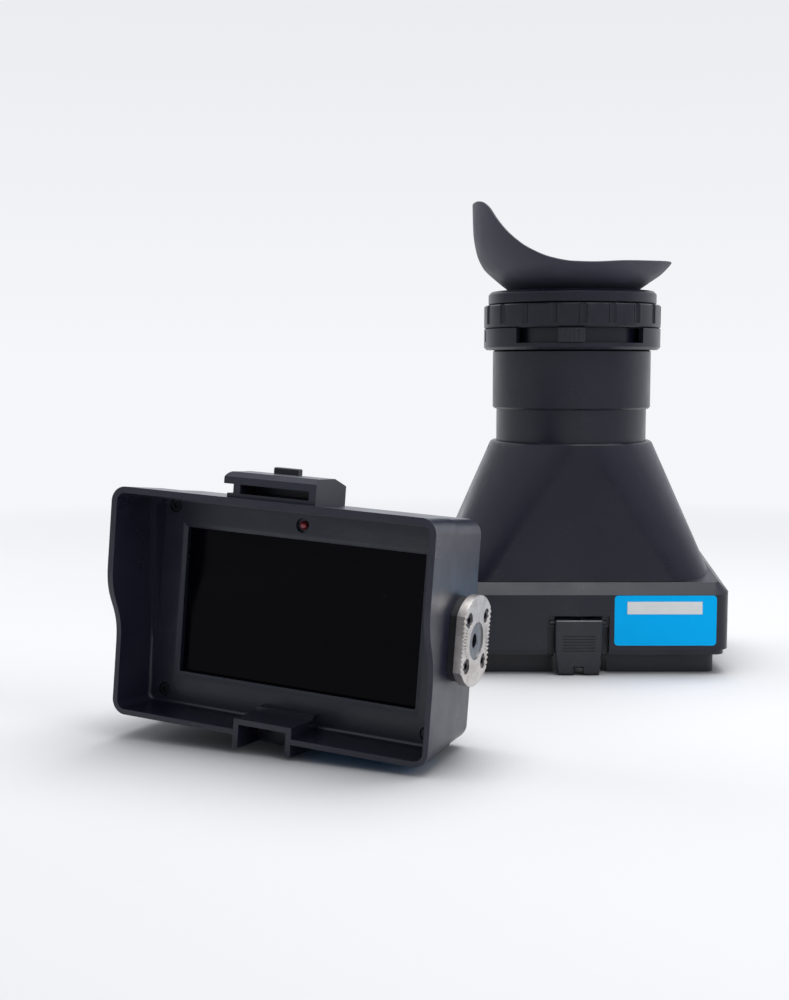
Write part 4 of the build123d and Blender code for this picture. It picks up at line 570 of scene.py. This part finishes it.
def turned_glass(name, node, seat, edge, bulge):
    """A lens bulged alike on both sides, with a flat ring round its edge."""
    curve = (LENS_CLEAR**2 + bulge**2) / (2.0 * bulge)
    radii = [LENS_CLEAR * step / LENS_STEPS for step in range(1, LENS_STEPS + 1)]
    cap = [(radius, math.sqrt(curve**2 - radius**2) - curve + bulge) for radius in radii]
    ring = [
        (LENS_CLEAR + LENS_CORNER, 0.0),
        (LENS_RADIUS - LENS_CORNER, 0.0),
        (LENS_RADIUS, LENS_CORNER),
    ]
    rows = [(radius, seat - rise) for radius, rise in cap]
    rows += [(radius, seat + rise) for radius, rise in ring]
    rows += [(radius, seat + edge - rise) for radius, rise in reversed(ring)]
    rows += [(radius, seat + edge + rise) for radius, rise in reversed(cap)]
    points = []
    for column in range(LENS_COLUMNS):
        turn = math.tau * column / LENS_COLUMNS
        points += [on_loupe(radius, turn, height) for radius, height in rows]
    lowest = len(points)
    highest = lowest + 1
    points.append(on_loupe(0.0, 0.0, seat - bulge))
    points.append(on_loupe(0.0, 0.0, seat + edge + bulge))
    count = len(rows)
    faces = []
    for column in range(LENS_COLUMNS):
        here = column * count
        beside = (column + 1) % LENS_COLUMNS * count
        faces.append((lowest, beside, here))
        faces.append((highest, here + count - 1, beside + count - 1))
        for row in range(count - 1):
            faces.append((here + row, beside + row, beside + row + 1, here + row + 1))
    glass = mesh_piece(name, points, faces, "cell", "lens_glass")
    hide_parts(node)


turned_glass("field_lens_glass", "field_lens", seat=146.0, edge=2.2, bulge=2.6)
turned_glass("eye_lens_glass", "eye_lens", seat=155.6, edge=2.6, bulge=3.6)

# Spring under the release button: wound here.
# It leans with the screen unit. Sizes in mm
COIL_UP = Vector((0.052244, 0.059306, 0.996872))
COIL_RADIUS = 1.1
COIL_WIRE = 0.4
COIL_HEIGHT = 6.07
COIL_TURNS = 5
COIL_STEPS = 28
COIL_SIDES = 10


def wound_spring(name, node, body):
    """A round wire wound about the middle of the node that it stands for."""
    low, high = (Vector(corner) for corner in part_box(node))
    foot = (low + high) / 2.0 - COIL_UP * (COIL_HEIGHT / 2.0 * MM)
    along = Vector((1.0, 0.0, 0.0)).cross(COIL_UP).normalized()
    across = along.cross(COIL_UP).normalized()
    steps = COIL_TURNS * COIL_STEPS
    points = []
    for step in range(steps + 1):
        turn = math.tau * step / COIL_STEPS
        outward = across * math.cos(turn) + along * math.sin(turn)
        centre = foot + outward * COIL_RADIUS * MM + COIL_UP * (COIL_HEIGHT * step / steps * MM)
        for side in range(COIL_SIDES):
            around = math.tau * side / COIL_SIDES
            rim = outward * math.cos(around) + COIL_UP * math.sin(around)
            points.append(centre + rim * COIL_WIRE * MM)
    faces = []
    for step in range(steps):
        for side in range(COIL_SIDES):
            here = step * COIL_SIDES + side
            beside = step * COIL_SIDES + (side + 1) % COIL_SIDES
            faces.append((here, here + COIL_SIDES, beside + COIL_SIDES, beside))
    faces.append(tuple(range(COIL_SIDES)))
    faces.append(tuple(steps * COIL_SIDES + side for side in reversed(range(COIL_SIDES))))
    spring = mesh_piece(name, points, faces, body, "spring_steel")
    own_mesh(spring)
    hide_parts(node)


wound_spring("release_coil", "release_spring", "screen_unit")

# Floor and surroundings: pale, and near white to the camera
PALE = (0.915, 0.925, 0.950)
PALE_HIGH = (0.835, 0.842, 0.876)
PALE_HIGH_FROM = 0.24
FLOOR_TONE = (0.80, 0.805, 0.825)
# Painted shadow: the floor's colour where the object is close by
FLOOR_SHADED = (0.34, 0.345, 0.365)
SHADE_REACH = 0.05
SHADE_SAMPLES = 8
FADE_START = 0.32
FADE_END = 0.85
FLOOR_HALF = 30.0


def pale_floor():
    """A pale matt floor with painted shadow close by the object, that shows as the background far
    off.
    """
    made, shader = material("floor_pale", FLOOR_TONE, 0.85, specular=0.12)
    links = made.node_tree.links
    # Painted shadow: the floor darkens towards FLOOR_SHADED where ambient occlusion finds the
    # object near
    near = add_node(
        made, "ShaderNodeAmbientOcclusion", Distance=SHADE_REACH, samples=SHADE_SAMPLES
    )
    openness = spread(made, near.outputs["AO"], 0.25, 0.85, 0.0, 1.0)
    coloured(made, shader, openness, FLOOR_SHADED, FLOOR_TONE)
    place = add_node(made, "ShaderNodeTexCoord")
    distance = add_node(made, "ShaderNodeVectorMath", operation="LENGTH")
    links.new(place.outputs["Object"], distance.inputs[0])
    far = spread(made, distance.outputs["Value"], FADE_START, FADE_END, 0.0, 1.0)
    ray = add_node(made, "ShaderNodeLightPath").outputs
    shown = combined(made, "MAXIMUM", ray["Is Camera Ray"], ray["Is Glossy Ray"])
    share = combined(made, "MULTIPLY", far, shown)
    glow = add_node(made, "ShaderNodeEmission", Strength=1.0, Color=(*PALE, 1.0))
    surface = joined(made, share, shader.outputs[0], glow.outputs[0])
    links.new(surface, made.node_tree.nodes["Material Output"].inputs["Surface"])
    return made


def flat_floor():
    """The floor, far larger than what a camera sees of it."""
    mesh = bpy.data.meshes.new("floor")
    corners = [(-1, -1), (1, -1), (1, 1), (-1, 1)]
    points = [(x * FLOOR_HALF, y * FLOOR_HALF, 0.0) for x, y in corners]
    mesh.from_pydata(points, [], [(0, 1, 2, 3)])
    mesh.materials.append(pale_floor())
    thing = bpy.data.objects.new("floor", mesh)
    scene.collection.objects.link(thing)
    return thing


floor = flat_floor()

# In gloss the surroundings are dark in front of the object, and bright behind and above it
GLOSS_DARK = (0.030, 0.035, 0.062)
GLOSS_BRIGHT = (0.88, 0.91, 0.98)
GLOSS_DARK_TO = -0.10
GLOSS_BRIGHT_FROM = 0.50
LIGHT_TONE = (0.94, 0.965, 1.0)
LIGHT_LEVEL = 0.27


def studio_world():
    """Pale to the camera and through glass, bright behind the object in gloss, and plain light."""
    world = bpy.data.worlds.new("studio")
    scene.world = world
    world.use_nodes = True
    world.node_tree.nodes.clear()
    links = world.node_tree.links

    way = add_node(world, "ShaderNodeTexCoord")
    parts = add_node(world, "ShaderNodeSeparateXYZ")
    links.new(way.outputs["Generated"], parts.inputs[0])
    seen = add_node(world, "ShaderNodeBackground")
    height = spread(world, parts.outputs["Z"], 0.0, PALE_HIGH_FROM, 0.0, 1.0)
    links.new(mixed(world, height, PALE, PALE_HIGH), seen.inputs["Color"])
    gloss = add_node(world, "ShaderNodeBackground")
    behind = combined(world, "MAXIMUM", parts.outputs["Y"], parts.outputs["Z"])
    bright = spread(world, behind, GLOSS_DARK_TO, GLOSS_BRIGHT_FROM, 0.0, 1.0)
    links.new(mixed(world, bright, GLOSS_DARK, GLOSS_BRIGHT), gloss.inputs["Color"])
    lit = add_node(
        world, "ShaderNodeBackground", Color=(*LIGHT_TONE, 1.0), Strength=LIGHT_LEVEL
    )
    ray = add_node(world, "ShaderNodeLightPath").outputs
    shown = combined(world, "MAXIMUM", ray["Is Camera Ray"], ray["Is Transmission Ray"])
    unseen = joined(world, ray["Is Glossy Ray"], lit.outputs[0], gloss.outputs[0])
    surroundings = joined(world, shown, unseen, seen.outputs[0])
    out = add_node(world, "ShaderNodeOutputWorld")
    links.new(surroundings, out.inputs[0])


studio_world()

LAMP_TARGET = Vector((0.0, 0.0, 0.08))


def softbox(name, place, size, power, mirrored):
    """A square soft lamp that faces the object, seen in glossy surfaces only if mirrored."""
    lamp = bpy.data.lights.new(name, "AREA")
    lamp.shape = "SQUARE"
    lamp.size = size
    lamp.energy = power
    thing = bpy.data.objects.new(name, lamp)
    thing.location = place
    thing.visible_glossy = mirrored
    thing.rotation_euler = (LAMP_TARGET - Vector(place)).to_track_quat("-Z", "Y").to_euler()
    scene.collection.objects.link(thing)


softbox("top_lamp", (0.10, 0.20, 1.15), size=0.9, power=12.2, mirrored=True)
softbox("left_lamp", (-0.95, -0.10, 0.45), size=0.7, power=3.4, mirrored=False)
softbox("right_lamp", (1.00, -0.25, 0.55), size=0.8, power=4.6, mirrored=False)

# Camera at the photograph's angle: lens and sensor in mm, place in metres, pitch in degrees
CAMERA_LENS = 64.17
CAMERA_SENSOR = 36.0
CAMERA_NEAR = 0.01
CAMERA_PLACE = (0.2120, -0.5597, 0.1373)
CAMERA_HEADING = Vector((-0.4115, 0.9114, 0.0)).normalized()
CAMERA_PITCH = math.radians(5.5)

camera_data = bpy.data.cameras.new("camera")
camera_data.sensor_fit = "HORIZONTAL"
camera_data.sensor_width = CAMERA_SENSOR
camera_data.lens = CAMERA_LENS
camera_data.clip_start = CAMERA_NEAR
camera = bpy.data.objects.new("camera", camera_data)
camera.location = CAMERA_PLACE
sight = CAMERA_HEADING * math.cos(CAMERA_PITCH) - UP * math.sin(CAMERA_PITCH)
camera.rotation_euler = sight.to_track_quat("-Z", "Y").to_euler()
scene.collection.objects.link(camera)
scene.camera = camera

scene.view_settings.view_transform = "Standard"
